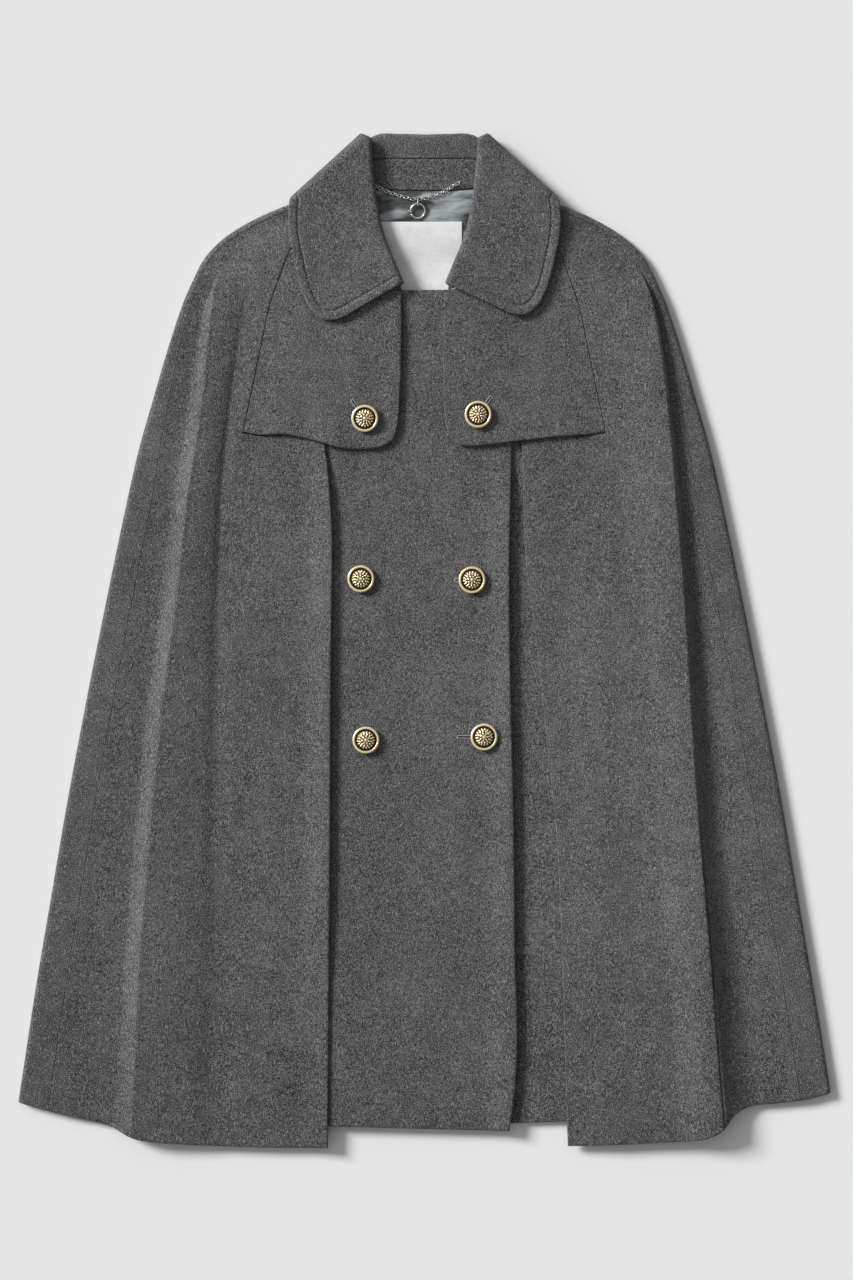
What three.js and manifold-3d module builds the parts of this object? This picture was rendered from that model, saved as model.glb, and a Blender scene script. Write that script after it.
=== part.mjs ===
// Wool cape coat, laid flat on a table with its front up.
// A cape with arm slits, storm flaps over the slits, a double-breasted body front that shows
// between the slits, a collar on a stand, a lined neck with a hanger chain, and six metal buttons.
// Millimetres. +X is the wearer's left, +Y runs from hem to neck, +Z is up off the table.
// Tables that serve both sides give distances from the centre line, so their x is never negative.

import * as THREE from "three";
import { mergeVertices } from "three/addons/utils/BufferGeometryUtils.js";
import Module from "manifold-3d";

// Cloth thicknesses
const backCloth = 2.4;
const capeCloth = 2.6;
const frontCloth = 3.2;
const flapCloth = 3.2;
const collarCloth = 3.6;
const standCloth = 3.0;
const liningCloth = 1.0;
const labelCloth = 1.0;

// Air between stacked layers, and between pieces that meet edge to edge
const layerAir = 0.5;
const seamGap = 0.6;
const restGap = 0.4;
const collarSeamGap = 0.9;

// Heights of the middle of each layer over the table, from the back up
const backLevel = backCloth / 2;
const underLevel = backCloth + layerAir + frontCloth / 2;
const overLevel = underLevel + frontCloth + layerAir;
const flapLevel = overLevel + (frontCloth + flapCloth) / 2 + layerAir;
const capeOverFront = (frontCloth + capeCloth) / 2 + layerAir;
const capeLevel = underLevel + capeOverFront;
const flapOverFront = flapLevel - overLevel;
const flapOverCape = (capeCloth + flapCloth) / 2 + layerAir;
const collarOverFlap = (flapCloth + collarCloth) / 2 + layerAir;
const neckLevel = 12.3;
const collarBackLevel = collarCloth / 2;
const standBackLevel = collarCloth + collarCloth / 2 + 0.8;

// The back lies on the collar's back fall, and the fronts lift over the label at the neck
const backLift = collarCloth + layerAir;
const labelLift = 2.7;
const frontLiftShare = 1.08;

// Body outline: half width, and how far in from it the side seam lies on the front
const outlineRows = [
  { y: 388.5, half: 61, seam: 5 },
  { y: 379.5, half: 90, seam: 5 },
  { y: 370.5, half: 116, seam: 5 },
  { y: 357, half: 148, seam: 5 },
  { y: 340, half: 174, seam: 5 },
  { y: 323, half: 189, seam: 5.3 },
  { y: 306, half: 197.5, seam: 5.5 },
  { y: 289, half: 205, seam: 7 },
  { y: 247, half: 219, seam: 10 },
  { y: 204, half: 231.6, seam: 14 },
  { y: 162, half: 243.5, seam: 18 },
  { y: 119, half: 253.3, seam: 21 },
  { y: 34, half: 271, seam: 22 },
  { y: -51, half: 288, seam: 23 },
  { y: -136, half: 304, seam: 24 },
  { y: -221, half: 318.5, seam: 25 },
  { y: -306, half: 333, seam: 25.5 },
  { y: -388, half: 346, seam: 26 },
];

// The long fold down each side of the cape: where its crest is and the crest's height over the
// table (top), the width of its outer face, and where the cloth inside the crest is lowest and its
// height there (floor). The right one is a soft roll with a valley inside it, and the left one a
// steep edge that the front rises to slowly
const foldRows = {
  right: [
    { y: 323, crest: 172, top: 11.4, face: 2, valley: 142, floor: 10.9 },
    { y: 306, crest: 178, top: 11.5, face: 4, valley: 149, floor: 10.5 },
    { y: 289, crest: 183, top: 12.1, face: 7, valley: 153, floor: 10.1 },
    { y: 247, crest: 189, top: 13.2, face: 11, valley: 160, floor: 9.6 },
    { y: 204, crest: 194.5, top: 13.9, face: 13, valley: 167, floor: 9 },
    { y: 119, crest: 204, top: 13.4, face: 14, valley: 171, floor: 7 },
    { y: 34, crest: 211.5, top: 13.4, face: 15, valley: 175, floor: 6.6 },
    { y: -51, crest: 222, top: 13.8, face: 15, valley: 177, floor: 6.6 },
    { y: -136, crest: 230, top: 13.9, face: 15, valley: 180, floor: 6.6 },
    { y: -221, crest: 237.5, top: 13.9, face: 15, valley: 184, floor: 6.6 },
    { y: -306, crest: 243.5, top: 13.4, face: 16, valley: 190, floor: 6.6 },
    { y: -388, crest: 249, top: 12.8, face: 17, valley: 197, floor: 6.8 },
  ],
  left: [
    { y: 323, crest: 181, top: 11.4, face: 1.5, valley: 154, floor: 11.4 },
    { y: 306, crest: 187, top: 12, face: 2, valley: 158, floor: 11.6 },
    { y: 289, crest: 192.5, top: 12.6, face: 2.4, valley: 162, floor: 11.8 },
    { y: 247, crest: 199.5, top: 13.6, face: 2.6, valley: 168, floor: 12 },
    { y: 204, crest: 202.5, top: 14, face: 2.8, valley: 173, floor: 12 },
    { y: 119, crest: 209.5, top: 14.2, face: 3, valley: 182, floor: 11.8 },
    { y: 34, crest: 216, top: 14.3, face: 3, valley: 186, floor: 12.2 },
    { y: -51, crest: 222.5, top: 14.4, face: 3.2, valley: 190, floor: 12.3 },
    { y: -136, crest: 229.5, top: 14.4, face: 3.4, valley: 195, floor: 12.3 },
    { y: -221, crest: 239, top: 14.4, face: 3.6, valley: 202, floor: 12.3 },
    { y: -306, crest: 249, top: 14.4, face: 3.8, valley: 209, floor: 12.3 },
    { y: -388, crest: 257.5, top: 13.8, face: 4, valley: 216, floor: 12 },
  ],
};
const footLevel = 5.6;

// The left cape starts to rise to its fold a little inside its dart line
const dartLiftHighest = 2.6;
const dartLiftWidth = 42;

// Raglan seam from the neck to the slit's end, then the dart line below it. edgeY is the height
// on the outline of the row that ends at (x, y), and z is the height of both cloths there
const raglanRows = [
  { edgeY: 388.5, x: 60.6, y: 371, z: 12.3 },
  { edgeY: 380, x: 72, y: 366, z: 12.2 },
  { edgeY: 370, x: 86, y: 358, z: 12.1 },
  { edgeY: 357, x: 101, y: 347, z: 11.9 },
  { edgeY: 340, x: 113, y: 334, z: 11.6 },
  { edgeY: 323, x: 119, y: 320, z: 11.4 },
  { edgeY: 306, x: 125, y: 304, z: 11.3 },
  { edgeY: 289, x: 130.5, y: 288, z: 11.1 },
  { edgeY: 247, x: 139.5, y: 247, z: 10.7 },
  { edgeY: 204, x: 148.5, y: 204, z: 10.1 },
  { edgeY: 176, x: 154.5, y: 176, z: 9.8 },
  { edgeY: 140, x: 161.5, y: 140, z: 8.2 },
  { edgeY: 119, x: 162.5, y: 119, z: capeLevel },
  { edgeY: 34, x: 161, y: 34, z: capeLevel },
  { edgeY: -51, x: 160, y: -51, z: capeLevel },
  { edgeY: -221, x: 161, y: -221, z: capeLevel },
  { edgeY: -306, x: 163, y: -306, z: capeLevel },
  { edgeY: -388, x: 165, y: -388, z: capeLevel },
];

// Free inner edge of each cape front, below the flap
const slitEdgeRows = [
  { y: 176, right: 84.8, left: 82.7 },
  { y: 128, right: 80.3, left: 83.9 },
  { y: 79, right: 78, left: 85.4 },
  { y: 0, right: 79, left: 94.8 },
  { y: -80, right: 79.5, left: 103.3 },
  { y: -187, right: 80, left: 113.5 },
  { y: -283, right: 81, left: 117.7 },
  { y: -390, right: 82.1, left: 122 },
];

// Cape hem height at each distance from the centre line
const hemRows = [
  { x: 84, right: -431.5, left: -430 },
  { x: 122, right: -431.3, left: -430 },
  { x: 170, right: -430.2, left: -428.5 },
  { x: 211, right: -428, left: -426.3 },
  { x: 238, right: -425.5, left: -423 },
  { x: 252, right: -421.5, left: -416.5 },
  { x: 265, right: -414.5, left: -402 },
  { x: 279, right: -410, left: -396 },
  { x: 300, right: -405.5, left: -394 },
  { x: 324, right: -399.5, left: -391 },
  { x: 346.5, right: -393, left: -385 },
];
const backHemMiddle = -402;

// Flap outlines as (distance from the centre line, height): the slit line from the slit's end
// to the rounded corner, then the front edge from that corner up to the neck
const slitLine = {
  right: [[153.8, 176.9], [140, 174.6], [118.6, 175], [93, 169.6], [71.8, 163.6], [46.3, 162.8],
    [33.6, 165.3], [26, 171]],
  left: [[153.8, 177], [138, 174.7], [123.7, 173.8], [98.2, 171.3], [74.4, 168.7], [51.4, 165.8],
    [34.4, 165.3], [27, 167.5], [21.5, 173.5]],
};
const flapFrontEdge = {
  right: [[26, 171], [22.5, 183], [20.8, 204.4], [19.4, 250], [19.4, 295.8]],
  left: [[21.5, 173.5], [17.6, 186], [16.6, 204.4], [16, 250], [17, 295.8]],
};
const flapNeckEdge = [[60.2, 370.4], [60.3, 356], [54.3, 327.5], [39.9, 304.4], [19.4, 295.8]];

// Body fronts, with x counted from the centre line towards the front's own side
const frontOuterEdge = [[64, 366], [78, 356], [98, 340], [110, 325], [116, 300], [122, 260], [124, 200],
  [120, 150], [124, 60], [132, -100], [142, -280]];
const frontNeckEdge = [[64, 366], [60.4, 356], [54.4, 328], [39.8, 305.2], [20, 297.6], [0, 297.6],
  [-30, 297.8], [-66, 298]];
const overFreeEdge = [[-66, 298], [-73, 290], [-74.4, 270], [-74.4, 162], [-72.7, 94], [-73.5, -42],
  [-75.2, -110], [-76.9, -246], [-75.6, -395], [-72, -417.2]];
const overHem = [[150, -413.5], [80, -413.5], [0, -415.5], [-72, -417.2]];
const underFreeEdge = [[-66, 298], [-70, 291], [-72, 280], [-72, 250], [-72, -100], [-72, -411.5]];
const underHem = [[150, -409], [122, -409.5], [75, -411], [-72, -411.5]];

// The over-front stands off a little along its free edge, below the flaps, in a strip this wide
const overEdgeX = 74;
const overEdgeWidth = 30;
const overEdgeLiftRows = [
  { y: 150, lift: 0 },
  { y: 90, lift: 2.2 },
  { y: -246, lift: 1.5 },
  { y: -417, lift: 1 },
];

// Collar guides on one side, from the front end to the point where the piece turns over the
// shoulder edge, then on the back to the centre. turn is the direction that the turn bulges in
const collarGuides = {
  neckSeam: {
    front: [[20.5, 297.6], [39, 306], [53, 328], [59.3, 356], [58.4, 371], [56.8, 387]],
    back: [[56.8, 387], [30, 384], [0, 383]],
    turn: [0.66, 0.75], backLevel: 5.9, over: 0,
  },
  standTop: {
    front: [[20.3, 299.4], [34, 315], [43, 338], [48, 366], [51.5, 392], [53, 409]],
    back: [[53, 409], [30, 410], [0, 409.6]],
    turn: [0.949, 0.316], backLevel: standBackLevel, over: 0.3,
  },
  innerRoll: {
    front: [[20.6, 301.2], [31, 326], [38.5, 345], [43, 367], [46.5, 392], [48.6, 413], [49.4, 424.5]],
    back: [[49.4, 424.5], [40, 426.9], [20, 427.4], [0, 427]],
    turn: [0.949, 0.316], backLevel: standBackLevel, over: 0.6,
  },
  rollEdge: {
    front: [[18.8, 302.2], [28.9, 326.5], [36.3, 345.5], [40.8, 367.5], [44.3, 392.2], [46.4, 413.5],
      [47.2, 427.2]],
    back: [[47.2, 427.2], [40, 429.2], [20, 429.7], [0, 429.2]],
    turn: [0.96, 0.28], backLevel: 4, over: 2.8,
  },
  outerRoll: {
    front: [[20.6, 301.2], [31, 326], [38.5, 345], [43, 367], [46.5, 392], [48.6, 413], [49.4, 424.5]],
    back: [[49.4, 424.5], [40, 426.9], [20, 427.4], [0, 427]],
    turn: [0.66, 0.75], backLevel: collarBackLevel, over: 5,
  },
  outerEdge: {
    front: [[66, 275.5], [76, 271.7], [87, 272.6], [95.5, 279.5], [103, 294], [110.5, 322],
      [115.4, 350], [115.4, 368]],
    back: [[115.4, 368], [99, 368], [60, 362], [0, 354]],
    turn: [-0.28, 0.96], backLevel: collarBackLevel, over: 3.9,
  },
};
const leftTipRaised = 5;

// Lining and label in the neck
const liningHalf = 50;
const liningBottom = 290;
const label = { left: -38, right: 32, bottom: 292, top: 356 };

// Buttons: diameter, height, and centres on the flaps and down the over-front
const buttonRadius = 11.5;
const buttonHeight = 6.2;
const shankRadius = 4;
const buttonPlaces = [
  { name: "button_top_right", x: -50.6, y: 188.3, on: "flap" },
  { name: "button_top_left", x: 45.5, y: 191.7, on: "flap" },
  { name: "button_middle_right", x: -54, y: 52.3, on: "front" },
  { name: "button_middle_left", x: 40.4, y: 51.4, on: "front" },
  { name: "button_bottom_right", x: -49.7, y: -84.6, on: "front" },
  { name: "button_bottom_left", x: 50.6, y: -82, on: "front" },
];

// Hanger chain across the back neck, and the ring that swings on its middle link
const chainRadius = 1.5;
const chainRoute = [[-43, 386.5, 9.4], [-24.5, 379.2, 9.5], [-5.6, 375.2, 9.7], [12, 379.5, 9.6],
  [28, 388.6, 9.5]];
const linkCentre = [-5.6, 371.6, 11.1];
const linkRadius = 2.4;
const linkWire = 0.55;
const ringPivot = [-5.6, 371.1, 10.9];
const ringRadius = 6.1;
const ringWire = 0.9;
const ringDroop = THREE.MathUtils.degToRad(9);

const smooth = (share) => THREE.MathUtils.smoothstep(share, 0, 1);
const mix = THREE.MathUtils.lerp;
const softMax = (a, b) => (a + b + Math.hypot(a - b, 0.5)) / 2;

// Slope at a knot from the slopes before and after it. The harmonic mean never overshoots; the
// mean weighted by the knots' spacing keeps a round outline round
const harmonicMean = (before, after) => (before * after > 0 ? (2 * before * after) / (before + after) : 0);
const weightedMean = (before, after, spanBefore, spanAfter) =>
  (before * spanAfter + after * spanBefore) / (spanBefore + spanAfter);

// Cubic pieces through values at rising knots, held at both ends
function splineThrough(knots, values, meanSlope) {
  const last = knots.length - 1;
  const secant = (i) => (values[i + 1] - values[i]) / (knots[i + 1] - knots[i]);
  const slopes = knots.map((knot, i) => {
    if (i === 0) return secant(0);
    if (i === last) return secant(last - 1);
    return meanSlope(secant(i - 1), secant(i), knot - knots[i - 1], knots[i + 1] - knot);
  });
  return (at) => {
    let i = 0;
    while (i < last - 1 && at > knots[i + 1]) i += 1;
    const span = knots[i + 1] - knots[i];
    const t = THREE.MathUtils.clamp((at - knots[i]) / span, 0, 1);
    const s = 1 - t;
    return values[i] * s * s * (1 + 2 * t) + values[i + 1] * t * t * (3 - 2 * t)
      + span * (slopes[i] * t * s * s - slopes[i + 1] * t * t * s);
  };
}

// One column of a table as a curve of another column
function columnCurve(rows, at, column) {
  const sorted = [...rows].sort((a, b) => a[at] - b[at]);
  return splineThrough(sorted.map((row) => row[at]), sorted.map((row) => row[column]), harmonicMean);
}

// Plane curve through points, by its share of the straight distances between them
function guide(points) {
  const knots = [0];
  for (let i = 1; i < points.length; i += 1) {
    knots.push(knots[i - 1] + Math.hypot(points[i][0] - points[i - 1][0], points[i][1] - points[i - 1][1]));
  }
  const total = knots[knots.length - 1];
  const shares = knots.map((knot) => knot / total);
  const curves = [0, 1].map((k) => splineThrough(shares, points.map((point) => point[k]), weightedMean));
  return (share) => curves.map((curve) => curve(share));
}

// Surface between four edge curves: top and bottom run across, first and last run down
function patch(top, bottom, first, last) {
  return (across, down) => [0, 1].map((k) =>
    (1 - down) * top(across)[k] + down * bottom(across)[k]
    + (1 - across) * first(down)[k] + across * last(down)[k]
    - (1 - across) * (1 - down) * top(0)[k] - across * (1 - down) * top(1)[k]
    - (1 - across) * down * bottom(0)[k] - across * down * bottom(1)[k]);
}

const shares = (count) => Array.from({ length: count + 1 }, (_, i) => i / count);

// Closed cloth of even thickness about a grid of middle points. Where hasCell says no, the
// cloth is left out, and every open side gets a wall
function clothSolid(grid, thickness, hasCell = () => true) {
  const columns = grid[0].length;
  const middles = grid.flat();
  const normals = middles.map(() => new THREE.Vector3());
  const cells = [];
  for (let i = 0; i + 1 < grid.length; i += 1) {
    for (let j = 0; j + 1 < columns; j += 1) {
      if (!hasCell(i, j)) continue;
      const a = i * columns + j;
      const corners = [a, a + 1, a + 1 + columns, a + columns];
      const diagonal = middles[corners[2]].clone().sub(middles[corners[0]]);
      const normal = diagonal.cross(middles[corners[3]].clone().sub(middles[corners[1]]));
      corners.forEach((corner) => normals[corner].add(normal));
      cells.push(corners);
    }
  }
  const sideOf = (sign) => middles.map((middle, i) =>
    middle.clone().addScaledVector(normals[i].clone().normalize(), (sign * thickness) / 2));
  const positions = [...sideOf(1), ...sideOf(-1)].flatMap((point) => point.toArray());
  const under = middles.length;
  const triangles = [];
  const openSides = new Map();
  cells.forEach(([a, b, c, d]) => {
    triangles.push(a, b, c, a, c, d);
    triangles.push(under + a, under + c, under + b, under + a, under + d, under + c);
    [[a, b], [b, c], [c, d], [d, a]].forEach(([from, to]) => {
      if (!openSides.delete(`${to} ${from}`)) openSides.set(`${from} ${to}`, [from, to]);
    });
  });
  openSides.forEach(([from, to]) => {
    triangles.push(under + from, under + to, to, under + from, to, from);
  });
  const geometry = new THREE.BufferGeometry();
  geometry.setAttribute("position", new THREE.Float32BufferAttribute(positions, 3));
  geometry.setIndex(triangles);
  return geometry;
}

// Side of the body: -1 is the wearer's right, +1 the wearer's left
const sideName = (side) => (side < 0 ? "right" : "left");

// Lift of the back over the collar's back fall, whose edge is a shallow curve
const fallEdgeY = (x) => 354 + 15 * (x / 110) ** 2;
const liftOverFall = (x, y) =>
  backLift * smooth((y - (fallEdgeY(x) - 38)) / 36) * smooth((148 - Math.abs(x)) / 26);
const backHeight = (x, y) => backLevel + liftOverFall(x, y);

// Heights of the two body fronts, one over the other across the middle
const liftOverLabel = (x, y) =>
  labelLift * smooth((y - 226) / 64) * smooth((372 - y) / 60) * smooth((92 - Math.abs(x)) / 44);
const liftOfFronts = (x, y) => frontLiftShare * liftOverFall(x, y);
const underHeight = (x, y) => underLevel + Math.max(liftOfFronts(x, y), liftOverLabel(x, y));
const overEdgeLift = columnCurve(overEdgeLiftRows, "y", "lift");
const overHeight = (x, y) => {
  const ramp = mix(underLevel, overLevel, smooth((x + 110) / 34));
  const edge = overEdgeLift(y) * smooth((x - overEdgeX) / overEdgeWidth + 1);
  return Math.max(ramp, underLevel + liftOfFronts(x, y)) + liftOverLabel(x, y) + edge;
};
const topFrontHeight = (x, y) => (x < overEdgeX + 4 ? overHeight(x, y) : underHeight(x, y));

// Raglan seam, looked up by the row's height on the outline or by its own height
const raglanX = columnCurve(raglanRows, "edgeY", "x");
const raglanY = columnCurve(raglanRows, "edgeY", "y");
const raglanZ = columnCurve(raglanRows, "edgeY", "z");
const raglanXAt = columnCurve(raglanRows, "y", "x");
const raglanZAt = columnCurve(raglanRows, "y", "z");

// Cape front between the dart line and the slit edge: it lies on the body front
const dartLift = (side, y) => (side > 0 ? dartLiftHighest * smooth((150 - y) / 70) : 0);
const capeHeight = (x, y) => {
  const inward = raglanXAt(y) - Math.abs(x);
  const rising = dartLift(x, y) * smooth(1 - inward / dartLiftWidth);
  const own = mix(raglanZAt(y), capeLevel, smooth(inward / 18)) + rising;
  const frontUnder = x < 0 ? overHeight(x, y) : underLevel;
  return softMax(own, frontUnder + capeOverFront - 0.2);
};

// Flap: level over the fronts, up over the right cape's top corner, down to the raglan seam
const flapFlatHeight = (x, y) => Math.max(flapLevel, topFrontHeight(x, y) + flapOverFront);
const flapHeight = (x, y) => {
  const flat = flapFlatHeight(x, y);
  const bump = smooth((200 - y) / 30) * smooth((-x - 58) / 22);
  const cleared = mix(flat, Math.max(flat, capeHeight(x, y) + flapOverCape), bump);
  return mix(raglanZAt(y), cleared, smooth((raglanXAt(y) - Math.abs(x)) / 30));
};

// Outline of the body on the +X side: the middle of the cloth, and the way out of it
const outlineHalf = columnCurve(outlineRows, "y", "half");
const seamDepth = columnCurve(outlineRows, "y", "seam");
const neckTop = outlineRows[0].y;
const hemNominal = outlineRows[outlineRows.length - 1].y;
const neckOut = [0.66, 0.75];
function outlineAt(y) {
  const step = 2;
  const upper = Math.min(y + step, neckTop);
  const lower = Math.max(y - step, hemNominal);
  const slope = (outlineHalf(upper) - outlineHalf(lower)) / (upper - lower);
  const neckShare = smooth((y - 379.5) / 9);
  const square = new THREE.Vector2(1, -slope).normalize();
  const out = square.lerp(new THREE.Vector2(...neckOut), neckShare).normalize();
  const middle = new THREE.Vector2(outlineHalf(y), y).addScaledVector(out, -backCloth / 2);
  return { middle, out };
}
const wrapRadius = (y) => 2.8 + 0.6 * smooth((y - 340) / 40);

// Rows of the back and the capes, by their height on the outline; the slit opens at slitRow
const rowHeights = [388.5, 382, 374, 365, 356, 348, 340, 332, 323, 306, 289, 262, 235, 204, 176, 160, 140,
  110, 70, 20, -40, -100, -160, -220, -280, -330, -370, hemNominal];
const slitRow = rowHeights.indexOf(176);

// Moves the lowest rows of a grid down or up so that the last one lies on the hem
function meetHem(grid, hemAt) {
  const lastRow = grid[grid.length - 1].map((point) => point.clone());
  grid.forEach((row, i) => {
    const share = smooth((-250 - rowHeights[i]) / (-250 - hemNominal));
    row.forEach((point, j) => {
      point.y += share * (hemAt(lastRow[j]) - lastRow[j].y);
    });
  });
  return grid;
}
const capeHem = {
  right: columnCurve(hemRows, "x", "right"),
  left: columnCurve(hemRows, "x", "left"),
};

// The back: from one side seam round the outline, across, and round to the other seam
function backGrid() {
  const turnAngles = shares(4).map((share) => Math.PI * share);
  const acrossShares = shares(12).slice(1, -1);
  const grid = rowHeights.map((y) => {
    const { middle, out } = outlineAt(y);
    const radius = wrapRadius(y);
    const centre = middle.clone().addScaledVector(out, -radius);
    const seam = middle.clone().addScaledVector(out, backCloth / 2 - seamDepth(y) + seamGap / 2);
    const level = backHeight(centre.x, centre.y);
    const halfRow = (side) => [
      new THREE.Vector3(side * seam.x, seam.y, level + 2 * radius),
      ...turnAngles.map((angle) => new THREE.Vector3(
        side * (centre.x + out.x * radius * Math.sin(angle)),
        centre.y + out.y * radius * Math.sin(angle),
        level + radius * (1 + Math.cos(angle)))),
    ];
    const middleY = centre.y - 2.5 * smooth((y - 340) / 48.5);
    const across = acrossShares.map((share) => {
      const x = mix(-centre.x, centre.x, share);
      const rowY = middleY + (centre.y - middleY) * (x / centre.x) ** 2;
      return new THREE.Vector3(x, rowY, backHeight(x, rowY));
    });
    return [...halfRow(-1), ...across, ...halfRow(1).reverse()];
  });
  return meetHem(grid, (point) => {
    const hem = capeHem[sideName(point.x)];
    if (point.z > backLevel + wrapRadius(hemNominal)) return hem(Math.abs(point.x));
    return backHemMiddle + (hem(346.5) - backHemMiddle) * (Math.abs(point.x) / 346.5) ** 4;
  });
}

// One cape front: side seam, foot, crest and valley of the fold, dart line, slit edge
function capeGrid(side) {
  const name = sideName(side);
  const foldCurves = {};
  ["crest", "top", "face", "valley", "floor"].forEach((column) => {
    foldCurves[column] = columnCurve(foldRows[name], "y", column);
  });
  const slitEdge = columnCurve(slitEdgeRows, "y", name);
  const slitTop = guide(slitLine[name]);
  const innerShares = shares(6).slice(1);
  const grid = rowHeights.map((y, row) => {
    const { middle, out } = outlineAt(y);
    const radius = wrapRadius(y);
    const centre = middle.clone().addScaledVector(out, -radius);
    const seam = middle.clone().addScaledVector(out, backCloth / 2 - seamDepth(y) - seamGap / 2);
    const seamLevel = backHeight(centre.x, centre.y) + 2 * radius;
    const end = new THREE.Vector2(raglanX(y), raglanY(y));

    const foldY = Math.min(y, 306);
    const foldSeam = foldY === y ? seam.x : outlineHalf(foldY) - seamDepth(foldY);
    const shareOf = (x) => (foldSeam - x) / (foldSeam - raglanX(foldY));
    const crest = shareOf(foldCurves.crest(foldY));
    const foot = shareOf(foldCurves.crest(foldY) + foldCurves.face(foldY));
    const valley = shareOf(foldCurves.valley(foldY));
    const shoulder = mix(crest, valley, 0.35);
    const top = foldCurves.top(y);
    const floor = foldCurves.floor(y);
    const endLevel = raglanZ(y) + dartLift(side, y);
    const folded = splineThrough(
      [0, foot, crest, shoulder, valley, 1],
      [seamLevel, footLevel, top, mix(floor, top, 0.75), floor, endLevel],
      harmonicMean);
    const foldShare = smooth((323 - y) / 34);
    const outer = [0, foot, mix(foot, crest, 0.5), crest, mix(crest, valley, 0.15), shoulder,
      mix(crest, valley, 0.68), valley, mix(valley, 1, 0.5), 1];
    const points = outer.map((share) => {
      const plain = mix(seamLevel, endLevel, smooth(share));
      return new THREE.Vector3(
        side * mix(seam.x, end.x, share), mix(seam.y, end.y, share), mix(plain, folded(share), foldShare));
    });
    const reach = slitEdge(y);
    innerShares.forEach((share) => {
      const x = mix(end.x, reach, share);
      const line = slitTop((raglanX(176) - x) / (raglanX(176) - 24));
      const tucked = line[1] + mix(-seamGap, 4, smooth((131 - x) / 12));
      const rowY = row === slitRow ? tucked : y;
      points.push(new THREE.Vector3(side * x, rowY, capeHeight(side * x, rowY)));
    });
    return points;
  });
  return meetHem(grid, (point) => capeHem[name](Math.abs(point.x)));
}
const outerColumns = 9;
const capeHasCell = (row, column) => row >= slitRow || column < outerColumns;

// Body front from its own edges, in own-side distances
function frontGrid(side, freeEdge, hem, height) {
  const outerEdge = [...frontOuterEdge, hem[0]];
  const surface = patch(guide(frontNeckEdge), guide(hem), guide(outerEdge), guide(freeEdge));
  return shares(22).map((down) => shares(12).map((across) => {
    const [own, y] = surface(across, down ** 1.4);
    return new THREE.Vector3(side * own, y, height(side * own, y));
  }));
}

// Storm flap between the raglan seam, the neck, its front edge and the slit line
function flapGrid(side) {
  const name = sideName(side);
  const raglan = raglanRows.filter((row) => row.edgeY >= 176);
  const raglanEdge = raglan.map((row) => [row.x - seamGap, row.y - seamGap]);
  raglanEdge[raglanEdge.length - 1] = slitLine[name][0];
  const neck = [...flapNeckEdge];
  neck[0] = raglanEdge[0];
  const frontEdge = [...flapFrontEdge[name]].reverse();
  neck[neck.length - 1] = frontEdge[0];
  const surface = patch(guide(neck), guide(slitLine[name]), guide(raglanEdge), guide(frontEdge));
  return shares(12).map((down) => shares(12).map((across) => {
    const [own, y] = surface(across, down);
    return new THREE.Vector3(side * own, y, flapHeight(side * own, y));
  }));
}

// Point of a collar guide: station 0 to 1 on the front, 1 to 2 round the shoulder edge, 2 to 3
// on the back
const collarCurves = Object.fromEntries(Object.entries(collarGuides).map(([name, entry]) =>
  [name, { ...entry, frontCurve: guide(entry.front), backCurve: guide(entry.back) }]));
const collarRest = (x, y) => Math.max(neckLevel, flapFlatHeight(x, y));

function collarPoint(name, side, station) {
  const entry = collarCurves[name];
  if (station > 2) {
    const [x, y] = entry.backCurve(station - 2);
    return new THREE.Vector3(side * x, y, entry.backLevel);
  }
  const [x, y] = entry.frontCurve(Math.min(station, 1));
  const tip = name === "outerEdge" && side > 0 ? leftTipRaised * smooth(1 - 1.4 * station) : 0;
  const front = new THREE.Vector3(side * x, y + tip, collarRest(side * x, y + tip) + entry.over);
  if (station <= 1) return front;
  const angle = Math.PI * (station - 1);
  const radius = (front.z - entry.backLevel) / 2;
  front.x += side * entry.turn[0] * radius * Math.sin(angle);
  front.y += entry.turn[1] * radius * Math.sin(angle);
  front.z = entry.backLevel + radius * (1 + Math.cos(angle));
  return front;
}

// Sections along the collar, from the right front end round the back to the left front end
const collarStations = (() => {
  const half = [...shares(10), ...shares(5).slice(1).map((share) => 1 + share),
    ...shares(4).slice(1).map((share) => 2 + share)];
  const right = half.map((station) => ({ side: -1, station }));
  const left = half.slice(0, -1).map((station) => ({ side: 1, station }));
  return [...right, ...left.reverse()];
})();

function standGrid() {
  return collarStations.map(({ side, station }) => {
    const seam = collarPoint("neckSeam", side, station);
    const top = collarPoint("standTop", side, station);
    const end = 1 - collarSeamGap / 2 / seam.distanceTo(top);
    return [0, 0.5, end].map((share) => seam.clone().lerp(top, share));
  });
}

function collarGrid() {
  return collarStations.map(({ side, station }) => {
    const at = (name) => collarPoint(name, side, station);
    const standTop = at("standTop");
    const innerRoll = at("innerRoll");
    const outerRoll = at("outerRoll");
    const outerEdge = at("outerEdge");
    const start = collarSeamGap / 2 / standTop.distanceTo(innerRoll);
    const fall = shares(5).slice(1).map((share) => {
      const point = outerRoll.clone().lerp(outerEdge, share);
      if (station <= 1) {
        point.z = Math.max(point.z, collarRest(point.x, point.y) + collarOverFlap);
      }
      return point;
    });
    const leg = [start, 0.5, 1].map((share) => standTop.clone().lerp(innerRoll, share));
    return [...leg, at("rollEdge"), outerRoll, ...fall];
  });
}

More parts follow.
